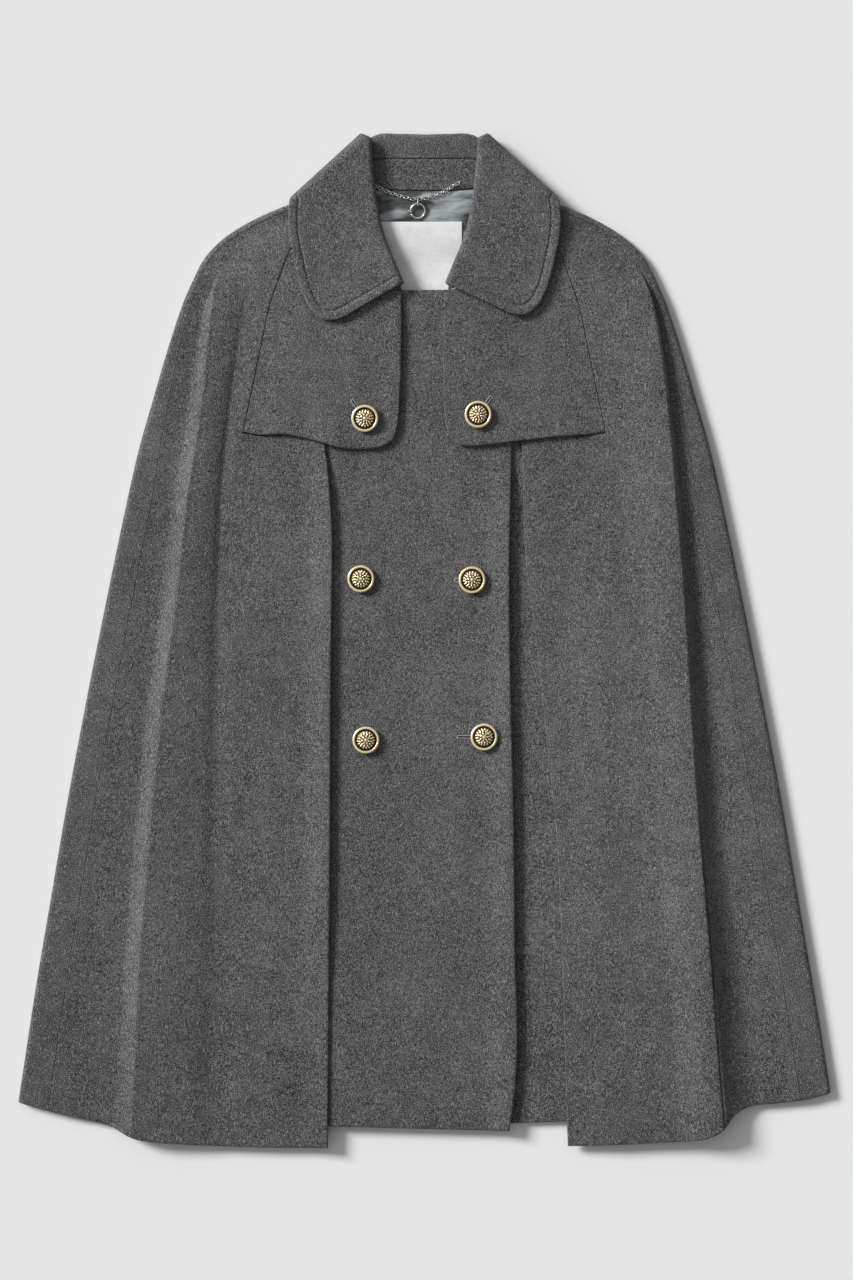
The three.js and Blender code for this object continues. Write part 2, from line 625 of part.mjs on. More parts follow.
// Patch of thin cloth lying on the back, as high as lift puts it over the back's middle
function backPatch(left, right, bottom, topAt, lift) {
  return shares(12).map((down) => shares(8).map((across) => {
    const x = mix(left, right, across);
    const y = mix(topAt(x), bottom, down);
    return new THREE.Vector3(x, y, backHeight(x, y) + lift);
  }));
}
const backNeckY = (x) => 382 + 2.4 * (x / 58) ** 2;
const liningLift = backCloth / 2 + restGap + liningCloth / 2;
const labelLiftOverBack = liningLift + liningCloth / 2 + restGap + labelCloth / 2;

const wool = (color) => new THREE.MeshStandardMaterial({ color, roughness: 0.95, metalness: 0 });
const satin = new THREE.MeshStandardMaterial({ color: 0x5b6468, roughness: 0.45, metalness: 0 });
const whiteTape = new THREE.MeshStandardMaterial({ color: 0xd8d8d8, roughness: 0.8, metalness: 0 });
const brass = new THREE.MeshStandardMaterial({ color: 0xb59a5a, roughness: 0.35, metalness: 1 });
const steel = new THREE.MeshStandardMaterial({ color: 0xc8c8c6, roughness: 0.25, metalness: 1 });

const coat = new THREE.Group();
function addPiece(name, geometry, material) {
  const mesh = new THREE.Mesh(geometry, material);
  mesh.name = name;
  coat.add(mesh);
  return mesh;
}

addPiece("back", clothSolid(backGrid(), backCloth), wool(0x5a5a5a));
addPiece("right_cape_front", clothSolid(capeGrid(-1), capeCloth, capeHasCell), wool(0x5c5c5c));
addPiece("left_cape_front", clothSolid(capeGrid(1), capeCloth, capeHasCell), wool(0x5c5c5c));
const overGrid = frontGrid(-1, overFreeEdge, overHem, overHeight);
const underGrid = frontGrid(1, underFreeEdge, underHem, underHeight);
addPiece("right_front", clothSolid(overGrid, frontCloth), wool(0x5e5e5e));
addPiece("left_front", clothSolid(underGrid, frontCloth), wool(0x5a5a5a));
addPiece("right_flap", clothSolid(flapGrid(-1), flapCloth), wool(0x5e5e5e));
addPiece("left_flap", clothSolid(flapGrid(1), flapCloth), wool(0x5e5e5e));
addPiece("collar_stand", clothSolid(standGrid(), standCloth), wool(0x505050));
addPiece("collar", clothSolid(collarGrid(), collarCloth), wool(0x5d5d5d));
const liningGrid = backPatch(-liningHalf, liningHalf, liningBottom, backNeckY, liningLift);
const labelGrid = backPatch(label.left, label.right, label.bottom, () => label.top, labelLiftOverBack);
addPiece("back_lining", clothSolid(liningGrid, liningCloth), satin);
addPiece("blank_label", clothSolid(labelGrid, labelCloth), whiteTape);

// Chain with its middle link, joined into one piece
const wasm = await Module();
wasm.setup();
function toSolid(geometry) {
  const bare = geometry.clone();
  bare.deleteAttribute("normal");
  bare.deleteAttribute("uv");
  const merged = mergeVertices(bare, 1e-4);
  return new wasm.Manifold(new wasm.Mesh({
    numProp: 3,
    vertProperties: new Float32Array(merged.getAttribute("position").array),
    triVerts: new Uint32Array(merged.getIndex().array),
  }));
}
function fromSolid(solid) {
  const mesh = solid.getMesh();
  const geometry = new THREE.BufferGeometry();
  geometry.setAttribute("position", new THREE.Float32BufferAttribute(mesh.vertProperties, 3));
  geometry.setIndex([...mesh.triVerts]);
  return geometry;
}
const chainSection = new THREE.Shape(shares(8).slice(0, -1).map((share) => new THREE.Vector2(
  chainRadius * Math.cos(2 * Math.PI * share), chainRadius * Math.sin(2 * Math.PI * share))));
const chainPath = new THREE.CatmullRomCurve3(chainRoute.map((point) => new THREE.Vector3(...point)));
const chainTube = new THREE.ExtrudeGeometry(chainSection,
  { steps: 24, bevelEnabled: false, extrudePath: chainPath });
const chainLink = new THREE.TorusGeometry(linkRadius, linkWire, 8, 20)
  .rotateY(Math.PI / 2)
  .translate(...linkCentre);
addPiece("hanger_chain", fromSolid(toSolid(chainTube).add(toSolid(chainLink))), steel);

// The ring hangs from its pivot on the link and droops towards the lining
const ring = addPiece("hanger_ring",
  new THREE.TorusGeometry(ringRadius, ringWire, 8, 28).translate(0, -ringRadius, 0), steel);
ring.position.set(...ringPivot);
ring.rotation.x = ringDroop;

// Domed button with a rolled rim over a short shank
const buttonProfile = [[0, 0], [shankRadius, 0], [shankRadius, 1.5], [10.6, 1.9], [buttonRadius, 3],
  [10.8, 4.2], [9.4, 4.2], [8.6, 3.6], [6, 5.2], [3, 6], [0, buttonHeight]];
function buttonGeometry() {
  const profile = buttonProfile.map(([radius, height]) => new THREE.Vector2(radius, height));
  return new THREE.LatheGeometry(profile, 20).rotateX(Math.PI / 2);
}
buttonPlaces.forEach(({ name, x, y, on }) => {
  const height = on === "flap" ? flapHeight : overHeight;
  const highest = (radius) => Math.max(...shares(12).map((share) => height(
    x + radius * Math.cos(2 * Math.PI * share), y + radius * Math.sin(2 * Math.PI * share))));
  const cloth = on === "flap" ? flapCloth : frontCloth;
  const button = addPiece(name, buttonGeometry(), brass);
  const seat = Math.max(height(x, y), highest(shankRadius), highest(buttonRadius) - 1.2);
  button.position.set(x, y, seat + cloth / 2 + 0.3);
});

export default coat;
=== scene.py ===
"""Wool cape coat, laid flat on a pale floor and seen from straight above.

Tables and heights are in millimetres, as in the CAD model; meshes are scaled to metres when made.
"""

import math

import bpy
import numpy as np
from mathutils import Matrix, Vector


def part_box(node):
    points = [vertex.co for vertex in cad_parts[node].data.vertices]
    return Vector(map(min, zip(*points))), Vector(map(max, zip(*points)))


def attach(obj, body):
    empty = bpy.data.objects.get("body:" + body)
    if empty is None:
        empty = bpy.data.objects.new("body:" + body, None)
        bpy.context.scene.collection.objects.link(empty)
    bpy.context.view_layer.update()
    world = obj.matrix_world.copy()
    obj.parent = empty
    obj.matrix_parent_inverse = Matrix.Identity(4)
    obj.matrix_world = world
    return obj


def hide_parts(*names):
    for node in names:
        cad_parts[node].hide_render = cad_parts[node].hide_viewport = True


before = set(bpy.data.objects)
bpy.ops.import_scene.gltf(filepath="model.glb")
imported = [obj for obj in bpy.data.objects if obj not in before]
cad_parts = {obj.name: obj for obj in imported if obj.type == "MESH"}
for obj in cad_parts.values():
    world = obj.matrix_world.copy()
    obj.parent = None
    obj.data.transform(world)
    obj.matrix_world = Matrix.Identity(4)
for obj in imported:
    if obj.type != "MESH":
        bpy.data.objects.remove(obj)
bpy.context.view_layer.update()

MM = 0.001
SIDES = (("right", -1), ("left", 1))

# Thickness of each cloth
BACK_CLOTH = 2.4
CAPE_CLOTH = 2.6
FRONT_CLOTH = 3.2
FLAP_CLOTH = 3.2
COLLAR_CLOTH = 3.6
STAND_CLOTH = 3.0
LINING_CLOTH = 1.0
LABEL_CLOTH = 1.0

# Gaps between sewn pieces
SEAM_GAP = 0.6
COLLAR_SEAM_GAP = 0.9

# Height of the middle of each layer over the table; the foot is where a fold's outer face starts
BACK_LEVEL = 1.2
UNDER_LEVEL = 4.5
OVER_LEVEL = 8.2
CAPE_LEVEL = 7.9
FLAP_LEVEL = 11.9
NECK_LEVEL = 12.3
COLLAR_BACK_LEVEL = 1.8
STAND_BACK_LEVEL = 6.2
FOOT_LEVEL = 5.6

# Height of the middle of a layer over the middle of the layer below it
CAPE_OVER_FRONT = 3.2
FLAP_OVER_FRONT = 3.7
FLAP_OVER_CAPE = 3.4
COLLAR_OVER_FLAP = 3.9
LINING_OVER_BACK = 2.1
LABEL_OVER_BACK = 3.5

# Lift of the back over the collar's back fall, of the fronts as a share of it, and of the fronts
# over the label
FALL_LIFT = 4.1
FALL_SHARE_OF_FRONTS = 1.08
LABEL_LIFT = 2.7

# Places: top of the neck, end of the shoulder, top of the arm slits, hem at the sides and its half
# width, where the rows start to turn toward it, and the edge of the front on top with how far
# past it a flap still lies on that front
NECK_TOP = 388.5
SHOULDER_TOP = 340.0
SLIT_TOP = 176.0
HEM = -388.0
HEM_REACH = 346.5
HEM_BLEND_TOP = -250.0
OVER_EDGE_X = 74.0
OVER_EDGE_MARGIN = 4.0

# Turn of the cloth round the side folds, how much wider it is at the neck, and how far the back's
# neck edge dips in its middle
WRAP_RADIUS = 2.8
NECK_WRAP_EXTRA = 0.6
NECK_DIP = 2.5

# Rise of the left cape to its fold at its dart line
DART_LIFT = 2.6
DART_LIFT_WIDTH = 42.0

# Body outline: half width and how far in the side seam lies, by height
OUTLINE = {
    "y": [388.5, 379.5, 370.5, 357, 340, 323, 306, 289, 247, 204, 162, 119, 34, -51, -136, -221,
          -306, -388],
    "half": [61, 90, 116, 148, 174, 189, 197.5, 205, 219, 231.6, 243.5, 253.3, 271, 288, 304,
             318.5, 333, 346],
    "seam": [5, 5, 5, 5, 5, 5.3, 5.5, 7, 10, 14, 18, 21, 22, 23, 24, 25, 25.5, 26],
}

# Long fold down each side: place and height of its crest, width of its outer face, and place and
# height of the lowest cloth inside it
FOLD_Y = [323, 306, 289, 247, 204, 119, 34, -51, -136, -221, -306, -388]
FOLD = {
    "right": {
        "crest": [172, 176, 179.5, 184, 188.5, 201, 210.5, 222, 230, 237.5, 243.5, 249],
        "top": [11.4, 11.5, 12.1, 13.2, 14, 14, 14, 14, 14, 13.9, 13.6, 13],
        "face": [2, 4, 7, 11, 13, 14, 15, 15, 15, 15, 16, 17],
        "valley": [142, 148, 152, 159, 165, 173, 176, 177, 178, 178.5, 179, 180],
        "floor": [10.9, 10.5, 10.1, 9.3, 8.8, 8, 7.5, 7.5, 7.7, 8.1, 8.6, 8.6],
    },
    "left": {
        "crest": [181, 187, 192.5, 200, 205.5, 213, 220, 225, 230.5, 237.5, 245, 253],
        "top": [11.4, 12.2, 13.4, 15.2, 16.2, 17, 17.8, 18.3, 18.7, 19.2, 20, 20.2],
        "face": [1.5, 2, 2.4, 3.2, 4.5, 8, 12, 16, 20, 25, 29, 31],
        "valley": [154, 158, 162, 168, 173, 182, 186, 190, 195, 202, 209, 216],
        "floor": [11.4, 11.6, 11.8, 12, 12, 12, 12.4, 12.6, 12.6, 12.6, 12.6, 12.4],
    },
}

# Raglan seam and the dart line below it: edge is the height on the outline of the same row
RAGLAN = {
    "edge": [388.5, 380, 370, 357, 340, 323, 306, 289, 247, 204, 176, 140, 119, 34, -51, -221,
             -306, -388],
    "x": [60.6, 72, 86, 101, 113, 119, 125, 130.5, 139.5, 148.5, 154.5, 161.5, 162.5, 161, 160,
          161, 163, 165],
    "y": [371, 366, 358, 347, 334, 320, 304, 288, 247, 204, 176, 140, 119, 34, -51, -221, -306,
          -388],
    "z": [12.3, 12.2, 12.1, 11.9, 11.6, 11.4, 11.3, 11.1, 10.7, 10.1, 9.8, 8.2, 7.9, 7.9, 7.9,
          7.9, 7.9, 7.9],
}
SLIT_EDGE = {
    "y": [176, 128, 79, 0, -80, -187, -283, -390],
    "right": [84.8, 80.3, 78, 79, 79.5, 80, 81, 82.1],
    "left": [82.7, 83.9, 85.4, 94.8, 103.3, 113.5, 117.7, 122],
}
CAPE_HEM = {
    "x": [84, 122, 170, 211, 238, 252, 265, 279, 300, 324, 346.5],
    "right": [-431.5, -431.3, -430.2, -428, -425.5, -421.5, -414.5, -410, -405.5, -399.5, -393],
    "left": [-430, -430, -428.5, -426.3, -423, -416.5, -402, -396, -394, -391, -385],
}
BACK_HEM_MIDDLE = -402.0

# Form of each crest: how near to it the outer face bends, how far the face has dropped there,
# how high the middle of the face is, the drop just inside it, and the inner slope's height
RIDGE = {
    "right": {"reach": 1.6, "drop": 0.8, "low": 0.3, "inner": 0.25, "flank": 0.42},
    "left": {"reach": 0.5, "drop": 0.6, "low": 0.2, "inner": 0.05, "flank": 0.26},
}

# How far the left fold's outer face bulges over its foot
OVERHANG = 0.5

# Edges of the flaps and the fronts, in distances from the middle toward the piece's own side
SLIT_LINE = {
    "right": [(153.8, 176.9), (140, 174.6), (118.6, 175), (93, 169.6), (71.8, 163.6),
              (46.3, 162.8), (33.6, 165.3), (26, 171)],
    "left": [(153.8, 177), (138, 174.7), (123.7, 173.8), (98.2, 171.3), (74.4, 168.7),
             (51.4, 165.8), (34.4, 165.3), (27, 167.5), (21.5, 173.5)],
}
FLAP_FRONT = {
    "right": [(26, 171), (22.5, 183), (20.8, 204.4), (19.4, 250), (19.4, 295.8)],
    "left": [(21.5, 173.5), (17.6, 186), (16.6, 204.4), (16, 250), (17, 295.8)],
}
FLAP_NECK = [(60.2, 370.4), (60.3, 356), (54.3, 327.5), (39.9, 304.4), (19.4, 295.8)]
FRONT_OUTER = [(64, 366), (78, 356), (98, 340), (110, 325), (116, 300), (122, 260), (124, 200),
               (120, 150), (124, 60), (132, -100), (142, -280)]
FRONT_NECK = [(64, 366), (60.4, 356), (54.4, 328), (39.8, 305.2), (20, 297.6), (0, 297.6),
              (-30, 297.8), (-66, 298)]
OVER_FREE = [(-66, 298), (-73, 290), (-74.4, 270), (-74.4, 162), (-72.7, 94), (-73.5, -42),
             (-75.2, -110), (-76.9, -246), (-75.6, -395), (-72, -417.2)]
OVER_HEM = [(150, -413.5), (80, -413.5), (0, -415.5), (-72, -417.2)]
UNDER_FREE = [(-66, 298), (-70, 291), (-72, 280), (-72, 250), (-72, -100), (-72, -411.5)]
UNDER_HEM = [(150, -409), (122, -409.5), (75, -411), (-72, -411.5)]

# How far the edge of the front on top stands up, by height, and over what width
OVER_EDGE_LIFT = {"y": [150, 105, -246, -417], "lift": [0, 4.3, 3.8, 3.1]}
OVER_EDGE_WIDTH = 22.0

# Ways out of the cloth at the neck seam and at the collar's roll
NECK_OUT = (0.66, 0.75)
ROLL_OUT = (0.949, 0.316)

# Collar guides: points on the front, points on the back, the way the turn bulges, the level of
# the back part, and the height over what the front part lies on
ROLL_FRONT = [(20.6, 301.2), (31, 326), (38.5, 345), (43, 367), (46.5, 392), (48.6, 412),
              (48.8, 423.2)]
ROLL_BACK = [(48.8, 423.2), (40, 426.9), (20, 427.4), (0, 427)]
COLLAR = {
    "neck_seam": ([(20.5, 297.6), (39, 306), (53, 328), (59.3, 356), (58.4, 371), (56.8, 387)],
                  [(56.8, 387), (30, 384), (0, 383)], NECK_OUT, 5.9, 0),
    "stand_top": ([(20.3, 299.4), (34, 315), (43, 338), (48, 366), (51.5, 392), (53, 409)],
                  [(53, 409), (30, 410), (0, 409.6)], ROLL_OUT, STAND_BACK_LEVEL, 0.3),
    "inner_roll": (ROLL_FRONT, ROLL_BACK, ROLL_OUT, STAND_BACK_LEVEL, 0.6),
    "roll_edge": ([(18.8, 302.2), (28.9, 326.5), (36.3, 345.5), (40.8, 367.5), (44.3, 392.2),
                   (46.4, 413), (46.8, 425.9)],
                  [(46.8, 425.9), (40, 429), (20, 429.7), (0, 429.2)], (0.96, 0.28), 4, 2.8),
    "outer_roll": (ROLL_FRONT, ROLL_BACK, NECK_OUT, COLLAR_BACK_LEVEL, 5),
    "outer_edge": ([(66, 275.5), (76, 271.7), (87, 272.6), (95.5, 279.5), (103, 294),
                    (110.5, 322), (115.4, 350), (115.4, 368)],
                   [(115.4, 368), (99, 368), (60, 362), (0, 354)], (-0.28, 0.96),
                   COLLAR_BACK_LEVEL, 3.9),
}
LEFT_TIP_RAISED = 5.0

# Distances between lines of points, and those of the first lines beside an open edge from it
CLOTH_STEP = 6.0
CAPE_TOP_STEP = 5.0
FLAP_STEP = 3.5
THIN_STEP = 2.0
EDGE_STEPS = np.array([0.0, 0.12, 0.35, 0.8, 1.6, 3.0])

# How far in from a side its edge is rounded: a free edge, and one sewn to its neighbour. A sewn
# side also reaches out over the gap by SEAM_REACH.
FREE = 1.5
SEWN = 0.12
SEAM_REACH = 0.31

UP = np.array([0.0, 0.0, 1.0])
ACROSS = np.array([1.0, 0.0, 0.0])


def smooth(t):
    """Eases from 0 at t 0 to 1 at t 1 as three t squared less two t cubed, held outside."""
    t = np.clip(t, 0.0, 1.0)
    return t * t * (3.0 - 2.0 * t)


def rise(value, start, width):
    """Eases from 0 where the value is at start to 1 a width further on."""
    return smooth((value - start) / width)


def fade(value, end, width):
    """Eases from 1 a width before end to 0 where the value reaches it."""
    return smooth((end - value) / width)


def mix(a, b, t):
    """Moves from a to b by the share t."""
    return a + (b - a) * t


def unit(v):
    """Scales vectors on the last axis to length one."""
    return v / np.maximum(np.linalg.norm(v, axis=-1, keepdims=True), 1e-9)


def soft_max(a, b):
    """Larger of two heights with its corner rounded: half of a plus b plus the hypotenuse of
    their difference and half a millimetre."""
    return (a + b + np.hypot(a - b, 0.5)) / 2


def spline(knots, values, at, harmonic=True):
    """Cubic pieces through values at rising knots on the last axis, held at both ends. The slope
    at a knot is the harmonic mean of its neighbours' slopes, or their mean weighted by spacing."""
    knots, values, at = (np.asarray(part, float) for part in (knots, values, at))
    span = np.diff(knots, axis=-1)
    secant = np.diff(values, axis=-1) / span
    before, after = secant[..., :-1], secant[..., 1:]
    if harmonic:
        product = before * after
        rising = product > 0
        inner = np.where(rising, 2 * product / np.where(rising, before + after, 1.0), 0.0)
    else:
        inner = (before * span[..., 1:] + after * span[..., :-1]) / (span[..., 1:] + span[..., :-1])
    slope = np.concatenate([secant[..., :1], inner, secant[..., -1:]], axis=-1)
    shape = at.shape
    if knots.ndim == 1:
        at = at.ravel()
    i = (at[..., None] > knots[..., None, 1:-1]).sum(-1)

    def pick(table, step=0):
        """Values at the knot before each place, or step knots further on."""
        return np.take_along_axis(table, i + step, axis=-1)

    width = pick(span)
    t = np.clip((at - pick(knots)) / width, 0.0, 1.0)
    s = 1.0 - t
    result = (pick(values) * s * s * (1 + 2 * t) + pick(values, 1) * t * t * (3 - 2 * t)
              + width * (pick(slope) * t * s * s - pick(slope, 1) * t * t * s))
    return result.reshape(shape)


def column(table, at, value):
    """One column of a table as a curve of another column."""
    order = np.argsort(table[at])
    knots = np.array(table[at], float)[order]
    values = np.array(table[value], float)[order]
    return lambda x: spline(knots, values, x)


def lengths(line):
    """Distance of each point of a line from its start, along the line."""
    steps = np.linalg.norm(np.diff(line, axis=0), axis=1)
    return np.concatenate([[0.0], np.cumsum(steps)])


def guide(points):
    """Plane curve through points by its share of the straight distances between them."""
    points = np.array(points, float)
    knots = lengths(points)
    knots /= knots[-1]
    return lambda share: np.stack(
        [spline(knots, points[:, k], share, harmonic=False) for k in (0, 1)], axis=-1)


def patch(top, bottom, first, last, across, down):
    """Surface between four edge curves: straight blends of facing edges, less the blend of the
    four corners. Rows follow down and columns follow across."""
    u = across[None, :, None]
    v = down[:, None, None]
    upper, lower = top(across)[None], bottom(across)[None]
    start, end = first(down)[:, None], last(down)[:, None]
    corners = ((1 - u) * (1 - v) * upper[:, :1] + u * (1 - v) * upper[:, -1:]
               + (1 - u) * v * lower[:, :1] + u * v * lower[:, -1:])
    return (1 - v) * upper + v * lower + (1 - u) * start + u * end - corners


def stations(length, step, at_start=True, at_end=True):
    """Shares from 0 to 1 along a length, even between its ends and close together at open ones."""
    lead = EDGE_STEPS if at_start else EDGE_STEPS[:1]
    tail = length - (EDGE_STEPS[::-1] if at_end else EDGE_STEPS[:1])
    count = max(2, int(round((tail[0] - lead[-1]) / step)))
    between = np.linspace(lead[-1], tail[0], count + 1)[1:-1]
    return np.concatenate([lead, between, tail]) / length


# Heights of the layers
def lift_over_fall(x, y):
    """Lift of the back over the collar's back fall, whose edge bows up toward the shoulders."""
    edge = 354 + 15 * (x / 110) ** 2
    return FALL_LIFT * rise(y, edge - 38, 36) * fade(np.abs(x), 148, 26)


def lift_over_label(x, y):
    """Lift of the fronts over the label."""
    return LABEL_LIFT * rise(y, 226, 64) * fade(y, 372, 60) * fade(np.abs(x), 92, 44)


def back_height(x, y):
    """Middle of the back."""
    return BACK_LEVEL + lift_over_fall(x, y)


def under_height(x, y):
    """Middle of the front that lies below."""
    return UNDER_LEVEL + np.maximum(FALL_SHARE_OF_FRONTS * lift_over_fall(x, y),
                                    lift_over_label(x, y))


over_edge_lift = column(OVER_EDGE_LIFT, "y", "lift")


def over_height(x, y):
    """Middle of the front that lies on top: it climbs on to the other one and over what is
    below, and its free edge stands up."""
    climb = mix(UNDER_LEVEL, OVER_LEVEL, rise(x, -110, 34))
    over_fall = UNDER_LEVEL + FALL_SHARE_OF_FRONTS * lift_over_fall(x, y)
    edge = over_edge_lift(y) * smooth((x - OVER_EDGE_X) / OVER_EDGE_WIDTH + 1)
    return np.maximum(climb, over_fall) + lift_over_label(x, y) + edge


raglan_x = column(RAGLAN, "edge", "x")
raglan_y = column(RAGLAN, "edge", "y")
raglan_z = column(RAGLAN, "edge", "z")
raglan_x_at = column(RAGLAN, "y", "x")
raglan_z_at = column(RAGLAN, "y", "z")


def dart_lift(side, y):
    """How far the left cape has risen to its fold at its dart line."""
    return np.where(side > 0, DART_LIFT * fade(y, 150, 70), 0.0)


def cape_height(x, y):
    """Middle of the cape between the dart line and the slit edge, where it lies on the front."""
    inward = raglan_x_at(y) - np.abs(x)
    rising = dart_lift(x, y) * smooth(1 - inward / DART_LIFT_WIDTH)
    own = mix(raglan_z_at(y), CAPE_LEVEL, smooth(inward / 18)) + rising
    below = np.where(x < 0, over_height(x, y), UNDER_LEVEL)
    return soft_max(own, below + CAPE_OVER_FRONT)


def flap_flat_height(x, y):
    """Middle of a flap where nothing but the fronts lies below it."""
    front = np.where(x < OVER_EDGE_X + OVER_EDGE_MARGIN, over_height(x, y), under_height(x, y))
    return np.maximum(FLAP_LEVEL, front + FLAP_OVER_FRONT)


def flap_height(x, y):
    """Middle of a flap: level, up over the right cape's corner, down to the raglan seam."""
    flat = flap_flat_height(x, y)
    corner = fade(y, 200, 30) * fade(x, -58, 22)
    cleared = mix(flat, np.maximum(flat, cape_height(x, y) + FLAP_OVER_CAPE), corner)
    return mix(raglan_z_at(y), cleared, fade(np.abs(x), raglan_x_at(y), 30))


outline_half = column(OUTLINE, "y", "half")
seam_depth = column(OUTLINE, "y", "seam")


def outline_at(y):
    """Middle of the cloth on the outline, and the way out of it, by height."""
    upper, lower = np.minimum(y + 2, NECK_TOP), np.maximum(y - 2, HEM)
    slope = (outline_half(upper) - outline_half(lower)) / (upper - lower)
    square = unit(np.stack([np.ones_like(y), -slope], axis=-1))
    out = unit(mix(square, np.array(NECK_OUT), rise(y, 379.5, 9)[:, None]))
    middle = np.stack([outline_half(y), y], axis=-1) - out * BACK_CLOTH / 2
    return middle, out


def wrap_radius(y):
    """Radius of the turn at the side folds."""
    return WRAP_RADIUS + NECK_WRAP_EXTRA * rise(y, SHOULDER_TOP, 40)


cape_hem = {name: column(CAPE_HEM, "x", name) for name, _ in SIDES}


def meet_hem(grid, heights, hem_y):
    """Moves the lowest rows so that the last one lies on the hem."""
    share = fade(heights, HEM_BLEND_TOP, HEM_BLEND_TOP - HEM)
    grid[..., 1] += share[:, None] * (hem_y - grid[-1, :, 1])[None]
    return grid


def ripple(x, y, size, seed):
    """Low uneven waves, mostly down the cloth: a sum of six sines of turned coordinates."""
    draw = np.random.default_rng(seed)
    total = np.zeros_like(x)
    for _ in range(6):
        angle = draw.normal(0.0, 0.35)
        length = draw.uniform(38, 120)
        phase = draw.uniform(0, 2 * math.pi)
        bend = draw.uniform(-0.7, 0.7)
        along = x * math.cos(angle) + y * math.sin(angle)
        total += np.sin(2 * math.pi * along / length + phase + bend * np.sin(y / 140 + phase))
    return size * total / 6


def back_points():
    """Back from one side seam, round the outline, across, and round to the other seam."""
    y = NECK_TOP - (NECK_TOP - HEM) * stations(NECK_TOP - HEM, CLOTH_STEP)
    middle, out = outline_at(y)
    radius = wrap_radius(y)[:, None]
    centre = middle - out * radius
    seam = middle + out * (BACK_CLOTH / 2 - seam_depth(y) + SEAM_GAP / 2)[:, None]
    level = back_height(centre[:, 0], centre[:, 1])[:, None]
    top = np.array([0, 0.006, 0.018, 0.05, 0.12, 0.3, 0.6, 0.85])
    turn = np.linspace(0, math.pi, 13)

    def half_row(side):
        """Level stretch by the seam, then a half circle of the wrap's radius, on one side."""
        flat = mix(seam[:, None], centre[:, None], top[None, :, None])
        flat_z = np.broadcast_to(level + 2 * radius, flat.shape[:2])
        bulge = radius * np.sin(turn)[None]
        round_xy = centre[:, None] + out[:, None] * bulge[..., None]
        round_z = level + radius * (1 + np.cos(turn)[None])
        xy = np.concatenate([flat, round_xy], axis=1)
        z = np.concatenate([flat_z, round_z], axis=1)
        return np.stack([side * xy[..., 0], xy[..., 1], z], axis=-1)

    share = np.linspace(-1, 1, 61)[None, 1:-1]
    x = centre[:, :1] * share
    middle_y = (centre[:, 1] - NECK_DIP * rise(y, SHOULDER_TOP, 48.5))[:, None]
    row_y = middle_y + (centre[:, 1:] - middle_y) * share ** 2
    across = np.stack([x, row_y, back_height(x, row_y)], axis=-1)
    grid = np.concatenate([half_row(-1), across, half_row(1)[:, ::-1]], axis=1)
    last = grid[-1]
    reach = np.abs(last[:, 0])
    upper, edge = (np.where(last[:, 0] < 0, cape_hem["right"](at), cape_hem["left"](at))
                   for at in (reach, HEM_REACH))
    lower = BACK_HEM_MIDDLE + (edge - BACK_HEM_MIDDLE) * (reach / HEM_REACH) ** 4
    is_upper = last[:, 2] > BACK_LEVEL + wrap_radius(np.array(HEM))
    return meet_hem(grid, y, np.where(is_upper, upper, lower))


# How far a cape goes up under the flap, and the height over which the crest keeps its place
SLIT_TUCK = 4.0
FOLD_TOP = 306.0

# Columns of a cape from its side seam to its dart line, as shares of each stretch between bends
FOLD_SPANS = ([0, 0.003, 0.01, 0.025, 0.05, 0.1, 0.2, 0.35, 0.5, 0.65, 0.8, 0.92],
              np.arange(5) / 5, np.arange(5) / 5, np.arange(4) / 4, np.arange(3) / 3,
              np.arange(4) / 4, np.arange(5) / 5, np.arange(3) / 3,
              [0, 0.1, 0.25, 0.4, 0.55, 0.7, 0.83, 0.92, 0.965, 0.988, 0.996])


def fold_section(name, y, seam_x, seam_level, end_level):
    """Bends of each row of a cape from its side seam to its dart line, as shares of that width,
    and their heights: seam, foot, up the outer face to the crest, down the inner slope to the
    valley, dart line. Returns also the shares of the crest and the foot."""
    fold_y = np.minimum(y, FOLD_TOP)
    place = {key: spline(FOLD_Y[::-1], FOLD[name][key][::-1], fold_y)
             for key in ("crest", "face", "valley")}
    top, floor = (spline(FOLD_Y[::-1], FOLD[name][key][::-1], y) for key in ("top", "floor"))
    fold_seam = np.where(fold_y == y, seam_x, outline_half(fold_y) - seam_depth(fold_y))
    width = fold_seam - raglan_x(fold_y)
    crest = (fold_seam - place["crest"]) / width
    foot = (fold_seam - place["crest"] - place["face"]) / width
    valley = (fold_seam - place["valley"]) / width
    ridge = RIDGE[name]
    before = crest - np.minimum(ridge["reach"] / width, 0.6 * (crest - foot))
    beside, shoulder, flank = (mix(crest, valley, at) for at in (0.06, 0.35, 0.8))
    start, end = 0 * foot, 0 * foot + 1
    knots = [start, foot, mix(foot, crest, 0.45), before, crest, beside, shoulder, flank, valley,
             end, end + 0.1]
    levels = [seam_level, start + FOOT_LEVEL, mix(FOOT_LEVEL, top, ridge["low"]),
              top - ridge["drop"], top, top - ridge["inner"], mix(floor, top, 0.84),
              mix(floor, top, ridge["flank"]), floor, end_level, end_level]
    return np.stack(knots, axis=-1), np.stack(levels, axis=-1), crest, foot


